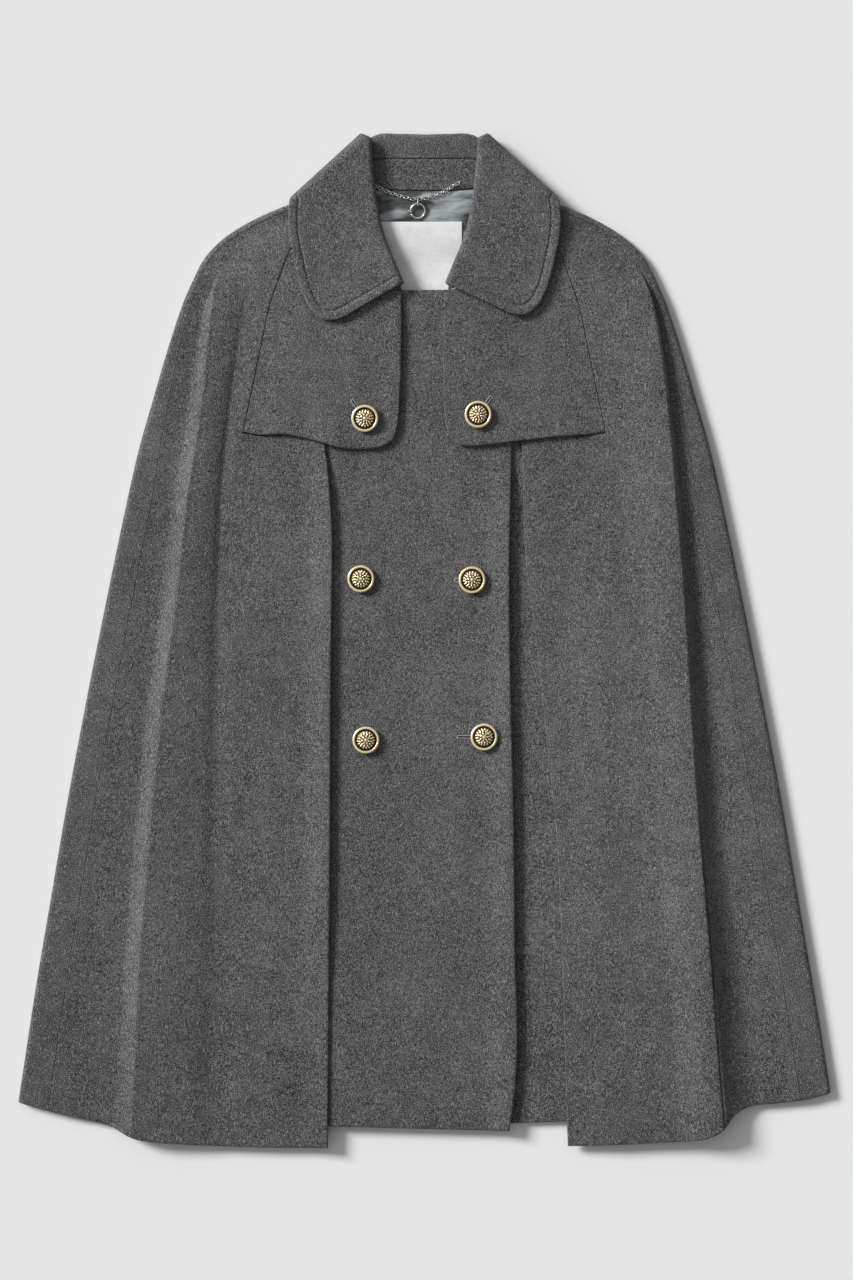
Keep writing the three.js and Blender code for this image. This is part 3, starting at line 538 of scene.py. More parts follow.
def cape_points(name, side):
    """Cape front from its side seam over the fold to the dart line, and on to the slit edge.
    Returns the grid, the row where the slit opens, and the column of the raglan seam."""
    below = SLIT_TOP - (SLIT_TOP - HEM) * stations(SLIT_TOP - HEM, CLOTH_STEP)
    above = NECK_TOP - (NECK_TOP - SLIT_TOP) * stations(NECK_TOP - SLIT_TOP, CAPE_TOP_STEP,
                                                        True, False)
    y = np.concatenate([above[:-1], below])
    slit_row = len(above) - 1
    middle, out = outline_at(y)
    radius = wrap_radius(y)
    centre = middle - out * radius[:, None]
    seam = middle + out * (BACK_CLOTH / 2 - seam_depth(y) - SEAM_GAP / 2)[:, None]
    seam_level = back_height(centre[:, 0], centre[:, 1]) + 2 * radius
    end_x, end_y = raglan_x(y), raglan_y(y)
    end_z = mix(raglan_z(y), cape_height(side * end_x, np.minimum(y, SLIT_TOP)),
                fade(y, SLIT_TOP, 6))
    knots, levels, crest, foot = fold_section(name, y, seam[:, 0], seam_level, end_z)
    share = np.concatenate([mix(knots[:, k:k + 1], knots[:, k + 1:k + 2], np.array(span)[None])
                            for k, span in enumerate(FOLD_SPANS)] + [knots[:, -2:-1]], axis=1)
    plain = mix(seam_level[:, None], end_z[:, None], smooth(share))
    z = mix(plain, spline(knots, levels, share), fade(y, FOLD_Y[0], 34)[:, None])
    across = mix(seam[:, :1], end_x[:, None], share)
    if side > 0:
        down = np.clip((crest[:, None] - share) / (crest - foot)[:, None], 0, 1)
        across += (OVERHANG * fade(y, 310, 60))[:, None] * np.sin(math.pi * down) ** 2
    outer = np.stack([side * across, mix(seam[:, 1:], end_y[:, None], share), z], axis=-1)

    reach = column(SLIT_EDGE, "y", name)(y)
    inner_share = stations(78.0, CAPE_TOP_STEP, False, True)[None, 1:]
    x = mix(end_x[:, None], reach[:, None], inner_share)
    slit_end = raglan_x(np.array(SLIT_TOP))
    line = guide(SLIT_LINE[name])((slit_end - x) / (slit_end - 24))[..., 1]
    tucked = line + mix(-SEAM_GAP, SLIT_TUCK, fade(x, 131, 12))
    row_y = y[:, None] + (tucked - SLIT_TOP) * np.clip((y[:, None] - 140) / 36, 0, 1)
    row_y = np.minimum(row_y, SLIT_TOP + SLIT_TUCK)
    inner = np.stack([side * x, row_y, cape_height(side * x, row_y)], axis=-1)
    grid = np.concatenate([outer, inner], axis=1)
    grid = meet_hem(grid, y, cape_hem[name](np.abs(grid[-1, :, 0])))
    return grid, slit_row, outer.shape[1] - 1


def front_points(side, free_edge, hem, height):
    """Body front from its own edges, in own-side distances."""
    own = patch(guide(FRONT_NECK), guide(hem), guide(FRONT_OUTER + [hem[0]]), guide(free_edge),
                stations(200.0, CLOTH_STEP), stations(700.0, CLOTH_STEP))
    x, y = side * own[..., 0], own[..., 1]
    return np.stack([x, y, height(x, y)], axis=-1)


def flap_points(name, side):
    """Storm flap between the raglan seam, the neck, its front edge and the slit line."""
    raglan = [(x - SEAM_GAP, y - SEAM_GAP) for edge, x, y in
              zip(RAGLAN["edge"], RAGLAN["x"], RAGLAN["y"]) if edge >= SLIT_TOP]
    raglan[-1] = SLIT_LINE[name][0]
    front = FLAP_FRONT[name][::-1]
    neck = [raglan[0]] + FLAP_NECK[1:-1] + [front[0]]
    own = patch(guide(neck), guide(SLIT_LINE[name]), guide(raglan), guide(front),
                stations(110.0, FLAP_STEP), stations(150.0, FLAP_STEP))
    x, y = side * own[..., 0], own[..., 1]
    return np.stack([x, y, flap_height(x, y)], axis=-1)


def collar_rest(x, y):
    """Height that the front part of the collar lies on."""
    return np.maximum(NECK_LEVEL, flap_flat_height(x, y))


def collar_points(name, side, station):
    """Points of a collar guide by station: 0 to 1 on the front, 1 to 2 in a half circle round the
    shoulder edge, 2 to 3 on the back."""
    front_line, back_line, turn, back_level, over = COLLAR[name]
    front = guide(front_line)(np.minimum(station, 1.0))
    if name == "outer_edge" and side > 0:
        front[:, 1] += LEFT_TIP_RAISED * smooth(1 - 1.4 * station)
    x = side * front[:, 0]
    z = collar_rest(x, front[:, 1]) + over
    angle = math.pi * np.clip(station - 1, 0, 1)
    radius = (z - back_level) / 2
    turned = np.stack([x + side * turn[0] * radius * np.sin(angle),
                       front[:, 1] + turn[1] * radius * np.sin(angle),
                       np.where(station > 1, back_level + radius * (1 + np.cos(angle)), z)], -1)
    back = guide(back_line)(np.clip(station - 2, 0, 1))
    behind = np.stack([side * back[:, 0], back[:, 1], np.full(len(station), back_level)], -1)
    return np.where(station[:, None] > 2, behind, turned)


COLLAR_FRONT_STATIONS = stations(118.0, 3.0, True, False)


def along_collar():
    """Stations from the right front end round the back to the left front end."""
    half = np.concatenate([COLLAR_FRONT_STATIONS, 1 + np.arange(1, 13) / 12,
                           2 + np.arange(1, 17) / 16])
    return ((-1, half), (1, half[:-1][::-1]))


STAND_SHARES = np.array([0, 0.02, 0.06, 0.14, 0.3, 0.5, 0.7, 0.86, 0.94, 0.98, 1.0])


def stand_points():
    """Collar stand between the neck seam and the collar's seam."""
    parts = []
    for side, station in along_collar():
        seam = collar_points("neck_seam", side, station)
        top = collar_points("stand_top", side, station)
        gap = COLLAR_SEAM_GAP / 2 / np.linalg.norm(top - seam, axis=1)
        share = STAND_SHARES[None, :, None] * (1 - gap)[:, None, None]
        parts.append(mix(seam[:, None], top[:, None], share))
    return np.concatenate(parts)


LEG_SHARES = np.array([0, 0.02, 0.06, 0.14, 0.3, 0.5, 0.75])
ROLL_ANGLES = np.linspace(0, math.pi, 9)
FALL_SHARES = stations(62.0, 3.2, False, True)[1:]
FALL_START = len(LEG_SHARES) + len(ROLL_ANGLES) - 1


def collar_grid_points():
    """Collar: a short leg up from the stand, a half circle over the roll, and the fall."""
    parts = []
    for side, station in along_collar():
        top, inner, roll, outer, edge = (collar_points(name, side, station)[:, None] for name in (
            "stand_top", "inner_roll", "roll_edge", "outer_roll", "outer_edge"))
        start = COLLAR_SEAM_GAP / 2 / np.linalg.norm(inner - top, axis=2, keepdims=True)
        leg = mix(top, inner, start + (1 - start) * LEG_SHARES[None, :, None])
        centre = (inner + outer) / 2
        cosine, sine = (wave(ROLL_ANGLES)[None, :, None] for wave in (np.cos, np.sin))
        over = centre + (inner - centre) * cosine + (roll - centre) * sine
        fall = mix(outer, edge, FALL_SHARES[None, :, None])
        need = collar_rest(fall[..., 0], fall[..., 1]) + COLLAR_OVER_FLAP - fall[..., 2]
        upright = (1 + np.cos(math.pi * np.clip(4 * (station - 1), 0, 1))) / 2
        fall[..., 2] += np.maximum(need, 0) * upright[:, None]
        parts.append(np.concatenate([leg, over, fall], axis=1))
    return np.concatenate(parts)


def patch_points(left, right, bottom, top_at, lift):
    """Thin cloth lying on the back, from its top edge straight down to its bottom."""
    share = stations(right - left, THIN_STEP)
    x = mix(left, right, share)[None] + np.zeros((len(share), 1))
    top = top_at(x)
    y = mix(top, bottom, share[:, None])
    return np.stack([x, y, back_height(x, y) + lift], axis=-1)


# Mesh making
def add_object(name, data):
    """Object in the scene for a mesh, a camera or a lamp."""
    made = bpy.data.objects.new(name, data)
    bpy.context.scene.collection.objects.link(made)
    return made


def new_object(name, vertices, faces, attributes=()):
    """Smooth mesh object at the origin from points in millimetres."""
    mesh = bpy.data.meshes.new(name)
    mesh.from_pydata((vertices * MM).tolist(), [], faces.tolist())
    mesh.polygons.foreach_set("use_smooth", np.ones(len(faces), bool))
    for key, values in attributes:
        layer = mesh.attributes.new(key, "FLOAT", "POINT")
        layer.data.foreach_set("value", values.astype(np.float32))
    mesh.update()
    return add_object(name, mesh)


def quads_of(index, wrap=False):
    """Four-sided faces between neighbouring rows and columns of a grid of vertex numbers."""
    if wrap:
        index = np.concatenate([index, index[..., :1]], axis=-1)
    return np.stack([index[..., :-1, :-1], index[..., :-1, 1:], index[..., 1:, 1:],
                     index[..., 1:, :-1]], axis=-1).reshape(-1, 4)


def edge_distances(grid, slit_row=0, seam_column=None):
    """Distances along the grid from its four sides: first and last column, first and last row.
    Above slit_row the last column is seam_column."""
    rows, columns = grid.shape[:2]
    step = np.linalg.norm(np.diff(grid, axis=1), axis=2)
    along = np.concatenate([np.zeros((rows, 1)), np.cumsum(step, axis=1)], axis=1)
    step = np.linalg.norm(np.diff(grid, axis=0), axis=2)
    down = np.concatenate([np.zeros((1, columns)), np.cumsum(step, axis=0)], axis=0)
    last = along[:, -1:].copy()
    first_row = np.zeros((1, columns))
    if seam_column is not None:
        last[:slit_row, 0] = along[:slit_row, seam_column]
        first_row[0, seam_column + 1:] = down[slit_row, seam_column + 1:]
    return along, last - along, down - first_row, down[-1:] - down


def meet_seams(grid, rounding, slit_row, seam_column):
    """Carries the sewn sides of a grid out to the middle of the gap at their seams, and puts
    the next line of points where the rounding ends."""
    grid = grid.copy()
    sides = [(grid[:, 0], grid[:, 1], grid[:, 4]), (grid[:, -1], grid[:, -2], grid[:, -5]),
             (grid[0], grid[1], grid[4]), (grid[-1], grid[-2], grid[-5])]
    sewn = [side for side, reach in zip(sides, rounding) if reach == SEWN]
    if seam_column is not None:
        above = grid[:slit_row + 1]
        sewn.append((above[:, seam_column], above[:, seam_column - 1], above[:, seam_column - 3]))
    for edge_line, next_line, inner_line in sewn:
        outward = unit(edge_line - inner_line)
        edge_line += outward * SEAM_REACH
        next_line[:] = edge_line - outward * SEWN
    return grid


def shell(name, grid, thickness, rounding, slit_row=0, seam_column=None, attributes=()):
    """Closed cloth about a grid of middle points. The half thickness follows a quarter ellipse
    in from each side, as far in as rounding says for that side."""
    grid = meet_seams(grid, rounding, slit_row, seam_column)
    rows, columns = grid.shape[:2]
    used = np.ones((rows - 1, columns - 1), bool)
    if seam_column is not None:
        used[:slit_row, seam_column:] = False
    normal = np.zeros_like(grid)
    facing = np.cross(grid[1:, 1:] - grid[:-1, :-1], grid[1:, :-1] - grid[:-1, 1:])
    facing *= used[..., None]
    for rows_part in (slice(0, -1), slice(1, None)):
        for columns_part in (slice(0, -1), slice(1, None)):
            normal[rows_part, columns_part] += facing
    normal = unit(normal)
    share = np.ones((rows, columns))
    for distance, reach in zip(edge_distances(grid, slit_row, seam_column), rounding):
        inside = 1 - np.clip(distance / reach, 0, 1)
        share = np.minimum(share, np.sqrt(1 - inside ** 2))
    if seam_column is not None:
        share[slit_row, seam_column] = 0
    share = np.where(share < 1e-4, 0, share)
    half = normal * (share * thickness / 2)[..., None]
    upper = np.arange(rows * columns).reshape(rows, columns)
    lower = np.where(share == 0, upper, upper + rows * columns)
    vertices = np.concatenate([(grid + half).reshape(-1, 3), (grid - half).reshape(-1, 3)])
    faces = np.concatenate([quads_of(upper)[used.ravel()],
                            quads_of(lower)[used.ravel()][:, ::-1]])
    kept = np.unique(faces)
    renumber = np.zeros(len(vertices), int)
    renumber[kept] = np.arange(len(kept))
    doubled = [(key, np.concatenate([values.ravel(), values.ravel()])[kept])
               for key, values in attributes]
    return new_object(name, vertices[kept], renumber[faces], doubled)


def wires(paths, radii, normal, sides=6, closed=False):
    """Vertices and faces of round wires along many paths at once. Each path point gets a ring of
    points square to the path, started from the given normal."""
    if closed:
        tangent = np.roll(paths, -1, axis=1) - np.roll(paths, 1, axis=1)
    else:
        tangent = np.gradient(paths, axis=1)
    tangent = unit(tangent)
    sideways = unit(np.cross(tangent, normal))
    upright = np.cross(sideways, tangent)
    angle = 2 * math.pi * np.arange(sides) / sides
    around = (np.cos(angle)[:, None] * sideways[:, :, None]
              + np.sin(angle)[:, None] * upright[:, :, None])
    radii = np.broadcast_to(radii, paths.shape[:2])[..., None, None]
    vertices = paths[:, :, None] + radii * around
    index = np.arange(vertices[..., 0].size).reshape(vertices.shape[:3])
    if closed:
        index = np.concatenate([index, index[:, :1]], axis=1)
    return vertices.reshape(-1, 3), quads_of(index, wrap=True)


def gathered(parts):
    """Joins vertex and face arrays into one pair."""
    vertices, faces, start = [], [], 0
    for part_vertices, part_faces in parts:
        vertices.append(part_vertices)
        faces.append(part_faces + start)
        start += len(part_vertices)
    return np.concatenate(vertices), np.concatenate(faces)


def nearest_distance(points, line):
    """Distance of each point from the nearest point of a closely sampled line."""
    flat = points.reshape(-1, 3)
    parts = [np.sqrt(((chunk[:, None] - line[None]) ** 2).sum(-1)).min(1)
             for chunk in np.array_split(flat, 1 + len(flat) // 2000)]
    return np.concatenate(parts).reshape(points.shape[:-1])


def dense(line, step=1.0):
    """The same line, sampled evenly."""
    length = lengths(line)
    at = np.linspace(0, length[-1], max(2, int(length[-1] / step)))
    return np.stack([np.interp(at, length, line[:, k]) for k in range(line.shape[1])], axis=-1)


def surface_over(grid, thickness):
    """Height of the upper side over a grid of middle points, from its four nearest points."""
    flat = grid.reshape(-1, 3)

    def height(xy):
        gap = ((xy[:, None] - flat[None, :, :2]) ** 2).sum(-1)
        near = np.argpartition(gap, 4, axis=1)[:, :4]
        weight = 1 / (np.take_along_axis(gap, near, axis=1) + 0.05)
        return (flat[near, 2] * weight).sum(1) / weight.sum(1) + thickness / 2
    return height


# Stitches: from one to the next, length, radius of the thread, and how deep its ends sink in
STITCH_PITCH = 3.6
STITCH_LENGTH = 2.6
STITCH_RADIUS = 0.28
STITCH_SINK = 0.12


def stitch_run(line, height):
    """Short threads in a row along a plane line, each raised in its middle as a half sine."""
    spread = dense(line, 0.5)
    along = lengths(spread)
    count = int(along[-1] / STITCH_PITCH)
    start = (np.arange(count) + 0.5) * STITCH_PITCH - STITCH_LENGTH / 2
    share = np.linspace(0, 1, 6)
    at = (start[:, None] + STITCH_LENGTH * share[None]).ravel()
    xy = np.stack([np.interp(at, along, spread[:, k]) for k in (0, 1)], axis=-1)
    arch = np.tile(np.sin(math.pi * share), count)
    z = height(xy) - STITCH_SINK - STITCH_RADIUS + (STITCH_RADIUS + 0.1) * arch
    paths = np.concatenate([xy, z[:, None]], axis=1).reshape(count, len(share), 3)
    thick = STITCH_RADIUS * np.maximum(np.sin(math.pi * np.linspace(0.06, 0.94, 6)), 0.35)
    return wires(paths, thick, UP)


# Materials
class Wire:
    """A value in a shader. Its operators add Math nodes."""

    def __init__(self, graph, socket):
        self.graph, self.socket = graph, socket

    def maths(self, operation, first, second):
        """Math node with two inputs."""
        return self.graph.node("ShaderNodeMath", {"operation": operation}, {0: first, 1: second})

    def __add__(self, other):
        return self.maths("ADD", self, other)

    __radd__ = __add__

    def __mul__(self, other):
        return self.maths("MULTIPLY", self, other)

    __rmul__ = __mul__

    def __sub__(self, other):
        return self.maths("SUBTRACT", self, other)

    def __rsub__(self, other):
        return self.maths("SUBTRACT", other, self)

    def __truediv__(self, other):
        return self.maths("DIVIDE", self, other)

    def __rtruediv__(self, other):
        return self.maths("DIVIDE", other, self)


class Graph:
    """A new material, or a new world, and its nodes."""

    def __init__(self, name, kind="materials"):
        self.owner = getattr(bpy.data, kind).new(name)
        self.owner.use_nodes = True
        self.tree = self.owner.node_tree
        self.tree.nodes.clear()

    def node(self, kind, settings, inputs, output=0):
        """Adds a node: its type, its settings, then its inputs."""
        made = self.tree.nodes.new(kind)
        for key, value in settings.items():
            setattr(made, key, value)
        for key, value in inputs.items():
            if isinstance(value, Wire):
                self.tree.links.new(value.socket, made.inputs[key])
            else:
                made.inputs[key].default_value = value
        return Wire(self, made.outputs[output]) if made.outputs else None

    def place(self):
        """Object coordinates, in metres."""
        return self.node("ShaderNodeTexCoord", {}, {}, "Object")

    def noise(self, scale, detail, rough, vector=None):
        """Noise from 0 to 1 about 0.5."""
        return self.node("ShaderNodeTexNoise", {}, {
            "Vector": vector or self.place(), "Scale": scale, "Detail": detail,
            "Roughness": rough})

    def stretched(self, scale, turn=0.0):
        """Object coordinates turned about the third axis and scaled along each axis."""
        return self.node("ShaderNodeMapping", {}, {
            "Vector": self.place(), "Rotation": (0.0, 0.0, turn), "Scale": scale})

    def strands(self, scale, turn=0.0):
        """Fine noise drawn out along one axis, as threads and fibres are."""
        return self.noise(1.0, 1.0, 0.5, self.stretched(scale, turn))

    def ramp(self, value, low, high):
        """Eased step from 0 at low to 1 at high."""
        return self.node("ShaderNodeMapRange", {"interpolation_type": "SMOOTHSTEP"}, {
            "Value": value, "From Min": low, "From Max": high})

    def blend(self, share, first, second):
        """Mix of two colours."""
        return self.node("ShaderNodeMix", {"data_type": "RGBA"}, {0: share, 6: first, 7: second}, 2)

    def attribute(self, name):
        """Value of a mesh attribute."""
        return self.node("ShaderNodeAttribute", {"attribute_name": name}, {}, "Fac")

    def bump(self, height, distance, under=None):
        """Normal from a height in units of distance, over another normal where one is given."""
        inputs = {"Height": height, "Distance": distance, "Strength": 1.0}
        if under:
            inputs["Normal"] = under
        return self.node("ShaderNodeBump", {}, inputs)

    def finish(self, **inputs):
        """Principled surface with these inputs; returns the material."""
        named = {key.replace("_", " "): value for key, value in inputs.items()}
        surface = self.node("ShaderNodeBsdfPrincipled", {}, named)
        self.node("ShaderNodeOutputMaterial", {}, {"Surface": surface})
        return self.owner


def grey(value, tint=(1.0, 1.0, 1.0)):
    """Colour of a grey with a slight tint."""
    return tuple(value * part for part in tint) + (1.0,)


# The wool's mean grey and its tint, the step that brings out its fibres, the depth of its nap in
# metres, and the distance of the collar's stitches from its edge with the half width of the
# groove that they pull in
WOOL = 0.108
WOOL_TINT = (1.0, 0.985, 0.985)
FIBRE_STEP = (0.58, 0.72)
NAP_DEPTH = 0.0011
STITCH_INSET = 7.8
GROOVE_HALF = 0.8


def wool_material(name, level, stitched=False):
    """Milled melange wool: light and dark fibres over mottled grey, with a fuzzy nap and painted
    shade that darkens it a little toward the hem. The groove of the stitched one is 1 over 1 plus
    the square of the distance from it in half widths."""
    graph = Graph(name)
    speck = graph.noise(1250.0, 2.0, 0.7)
    fibre_a = graph.strands((1500.0, 330.0, 900.0), 0.5)
    fibre_b = graph.strands((300.0, 1400.0, 900.0), 0.35)
    mottle = graph.noise(70.0, 3.0, 0.6)
    broad = graph.noise(11.0, 2.0, 0.5)
    height = graph.node("ShaderNodeSeparateXYZ", {}, {"Vector": graph.place()}, "Y")
    # Painted shade: the wool's colour is darkened a little toward the hem
    hem_painted_shade = graph.ramp(height * -1.0, 0.12, 0.42)
    shade = (speck - 0.5) * 2.4 + (mottle - 0.5) * 0.3 + (broad - 0.5) * 0.2 + 0.5
    shade = shade - hem_painted_shade * 0.05
    body = graph.blend(graph.ramp(shade, 0.1, 0.9), grey(level * 0.08, WOOL_TINT),
                       grey(level * 1.9, WOOL_TINT))
    light = graph.ramp(fibre_a, *FIBRE_STEP) * 0.7
    body = graph.blend(light, body, grey(level * 3.1, WOOL_TINT))
    dark = graph.ramp(fibre_b, *FIBRE_STEP) * 0.75
    body = graph.blend(dark, body, grey(level * 0.12, WOOL_TINT))
    nap = speck * 0.5 + fibre_a * 0.35 + fibre_b * 0.35 + mottle * 0.6
    normal = graph.bump(nap, NAP_DEPTH)
    if stitched:
        away = (graph.attribute("edge") - STITCH_INSET) / GROOVE_HALF
        groove = 1 / (away * away + 1)
        normal = graph.bump(1 - groove, NAP_DEPTH, normal)
    return graph.finish(Base_Color=body, Roughness=0.96, Normal=normal, Sheen_Weight=0.12,
                        Sheen_Roughness=0.5, Specular_IOR_Level=0.15)


def thread_material(name, level):
    """Dull sewing thread."""
    graph = Graph(name)
    twist = graph.strands((1500.0, 1500.0, 1500.0), 0.8)
    colour = graph.blend(twist, grey(level * 0.7), grey(level * 1.3))
    return graph.finish(Base_Color=colour, Roughness=0.7, Normal=graph.bump(twist, 0.0002))


def satin_material():
    """Blue grey satin with fine threads and soft creases, its base colour brightened along the
    creases as a painted highlight.
    """
    graph = Graph("satin")
    crease = graph.noise(34.0, 1.6, 0.5, graph.stretched((1.0, 2.8, 1.0), 0.7))
    thread = graph.strands((2600.0, 240.0, 600.0))
    # Painted highlight: a share along the crease noise that lightens the base colour and lowers the
    # roughness
    painted_sheen = graph.ramp(crease * 0.95 + thread * 0.05, 0.44, 0.62)
    colour = graph.blend(painted_sheen, (0.034, 0.041, 0.045, 1.0), (0.31, 0.34, 0.35, 1.0))
    normal = graph.bump(crease * 12.0 + thread * 0.08, 0.0006)
    return graph.finish(Base_Color=colour, Roughness=0.4 - painted_sheen * 0.18, Normal=normal,
                        Specular_IOR_Level=0.7)


def label_material():
    """White woven tape."""
    graph = Graph("label")
    warp = graph.strands((2400.0, 500.0, 500.0))
    weft = graph.strands((500.0, 2400.0, 500.0))
    cloud = graph.noise(60.0, 2.0, 0.5)
    weave = warp * 0.5 + weft * 0.5
    colour = graph.blend(graph.ramp(weave * 0.6 + cloud * 0.4, 0.3, 0.7),
                         (0.7, 0.7, 0.7, 1.0), (0.88, 0.88, 0.875, 1.0))
    return graph.finish(Base_Color=colour, Roughness=0.75, Normal=graph.bump(weave, 0.0003),
                        Specular_IOR_Level=0.3)


def brass_material():
    """Antique brass: polished high parts, dark hollows, fine scratches."""
    graph = Graph("brass")
    polish = graph.attribute("polish")
    cloud = graph.noise(900.0, 3.0, 0.6)
    bright = graph.ramp(polish + (cloud - 0.5) * 0.7, 0.1, 0.75)
    colour = graph.blend(bright, (0.06, 0.038, 0.015, 1.0), (1.0, 0.84, 0.52, 1.0))
    return graph.finish(Base_Color=colour, Roughness=0.52 - bright * 0.26, Metallic=0.62,
                        Normal=graph.bump(cloud, 0.0001))


def steel_material():
    """Bright wire with a slightly warm tone."""
    graph = Graph("steel")
    cloud = graph.noise(900.0, 2.0, 0.6)
    colour = graph.blend(cloud, (0.36, 0.35, 0.32, 1.0), (0.92, 0.91, 0.86, 1.0))
    return graph.finish(Base_Color=colour, Roughness=0.26, Metallic=0.85,
                        Normal=graph.bump(cloud, 0.00005))


def floor_material():
    """Plain pale studio floor."""
    return Graph("floor").finish(Base_Color=grey(0.8), Roughness=0.9, Specular_IOR_Level=0.1)


wool = wool_material("wool", WOOL)
wool_stitched = wool_material("wool_stitched", WOOL, stitched=True)
thread = thread_material("thread", 0.035)
light_thread = thread_material("light_thread", 0.3)
# Near-black thread colour used as painted shade in the opening of each buttonhole
painted_slot_shade = thread_material("painted_slot_shade", 0.004)
steel = steel_material()
brass = brass_material()


def piece(made, material, body="coat", stands_for=None):
    """Gives a piece its material and body, and hides the CAD node that it stands for."""
    made.data.materials.append(material)
    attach(made, body)
    if stands_for:
        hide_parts(stands_for)
    return made


# Back
back = piece(shell("back_cloth", back_points(), BACK_CLOTH, (SEWN, SEWN, SEWN, FREE)), wool,
             stands_for="back")

# Rounding of the edges that face the middle: those on the left lie flat and hardly show
SIDE_EDGE = {"right": FREE, "left": 0.4}

# Cape fronts: rise of the slit edge, height and seed of the low waves, and each one's cut
SLIT_EDGE_LIFT = {"right": 3.3, "left": 0.0}
CAPE_SWELL = 0.7
CAPE_SEED = 5
CAPE_CUT = {"right": ((0.27, 0.82), 0.1326), "left": ((0.25, 0.82), 0.1167)}
for name, side in SIDES:
    grid, slit_row, seam_column = cape_points(name, side)
    x, y = grid[..., 0], grid[..., 1]
    from_seam, from_slit = edge_distances(grid, slit_row, seam_column)[:2]
    swell = ripple(x, y, CAPE_SWELL, CAPE_SEED + side)
    free = fade(y, 300, 120) * smooth(np.minimum(from_seam, from_slit + 12) / 25)
    over_front = fade(np.abs(x), 150, 20)
    grid[..., 2] += free * mix(swell, 0.5 * (swell + 1.0), over_front)
    opened = fade(y, 165, 50) * rise(y, -330, 130)
    grid[..., 2] += SLIT_EDGE_LIFT[name] * opened * smooth(1 - from_slit / 22)
    cape = piece(shell(f"{name}_cape_cloth", grid, CAPE_CLOTH, (SEWN, SIDE_EDGE[name], SEWN, FREE),
                       slit_row, seam_column), wool, stands_for=f"{name}_cape_front")
    flat, area = CAPE_CUT[name]

# Body fronts
over_grid = front_points(-1, OVER_FREE, OVER_HEM, over_height)
under_grid = front_points(1, UNDER_FREE, UNDER_HEM, under_height)
for name, grid, flat, area, below in (
        ("right", over_grid, (0.229, 0.783), 0.1506, "left_front_cloth"),
        ("left", under_grid, (0.222, 0.778), 0.1474, "back_cloth")):
    front = piece(shell(f"{name}_front_cloth", grid, FRONT_CLOTH, (FREE, FREE, SEWN, FREE)), wool,
                  stands_for=f"{name}_front")

# Storm flaps: rise of their free edges over a width, and by how much less of it the front edge
# has
FLAP_EDGE_LIFT = 1.2
FLAP_EDGE_WIDTH = 16.0
FLAP_LIES_FLAT = {"right": 0.0, "left": FLAP_EDGE_WIDTH}
flap_tops = {}
for name, side in SIDES:
    grid = flap_points(name, side)
    from_raglan, from_front, from_neck, from_slit = edge_distances(grid)
    from_free = np.minimum(from_front + FLAP_LIES_FLAT[name], from_slit)
    grid[..., 2] += (FLAP_EDGE_LIFT * smooth(1 - from_free / FLAP_EDGE_WIDTH)
                     * smooth(from_raglan / 30) * smooth(from_neck / 40))
    flap_tops[name] = surface_over(grid, FLAP_CLOTH)
    flap = piece(shell(f"{name}_flap_cloth", grid, FLAP_CLOTH, (SEWN, SIDE_EDGE[name], SEWN, FREE)),
                 wool, stands_for=f"{name}_flap")

# Collar and its stand. The collar's leg and roll are as far from its edge as FAR_FROM_EDGE.
COLLAR_EDGE_LIFT = 1.3
COLLAR_EDGE_WIDTH = 15.0
FAR_FROM_EDGE = 60.0
stand = piece(shell("collar_stand_cloth", stand_points(), STAND_CLOTH, (SEWN, SEWN, SEWN, SEWN)),
              wool, stands_for="collar_stand")
collar_grid = collar_grid_points()
fall = collar_grid[:, FALL_START:]
rim = np.concatenate([fall[0], fall[:, -1], fall[-1, ::-1]])
edge = np.full(collar_grid.shape[:2], FAR_FROM_EDGE)
edge[:, FALL_START:] = nearest_distance(fall, dense(rim))
on_front = fade(collar_grid[..., 1], 372, 20)
collar_grid[..., 2] += COLLAR_EDGE_LIFT * on_front * smooth(1 - edge / COLLAR_EDGE_WIDTH)
collar = piece(shell("collar_cloth", collar_grid, COLLAR_CLOTH, (SEWN, FREE, FREE, FREE),
                     attributes=[("edge", edge)]), wool_stitched, stands_for="collar")

# Lining and label
THIN_EDGES = (0.4, 0.4, 0.4, 0.4)
LINING_SWELL = 0.45
LINING_SEED = 3


def lining_top(x):
    """Neck seam over the lining: a parabola that rises toward the shoulders."""
    return 382 + 2.4 * (x / 58) ** 2


def label_top(x):
    """Straight upper edge of the label."""
    return np.full_like(x, 356.0)


lining_grid = patch_points(-50, 50, 290, lining_top, LINING_OVER_BACK)
swell = ripple(lining_grid[..., 0] * 2.2, lining_grid[..., 1] * 1.5, LINING_SWELL, LINING_SEED)
lining_grid[..., 2] += np.clip(swell + 0.2, 0, 0.35)
lining = piece(shell("lining_cloth", lining_grid, LINING_CLOTH, THIN_EDGES), satin_material(),
               stands_for="back_lining")
label_grid = patch_points(-38, 32, 292, label_top, LABEL_OVER_BACK)
label_grid[..., 2] += 0.25 * rise(label_grid[..., 1], 348, 4)
label = piece(shell("label_tape", label_grid, LABEL_CLOTH, THIN_EDGES), label_material(),
              stands_for="blank_label")

# Hanger chain: its route, the pitch of its links, and the half sizes, wire and tilt of a link
CHAIN_ROUTE = np.array([(-43, 386.5, 9.4), (-24.5, 379.2, 9.5), (-5.6, 375.2, 9.7),
                        (12, 379.5, 9.6), (28, 388.6, 9.5)], float)
LINK_PITCH = 2.75
LINK_HALVES = (2.05, 1.4)
LINK_WIRE = 0.38
LINK_TILT = 0.45

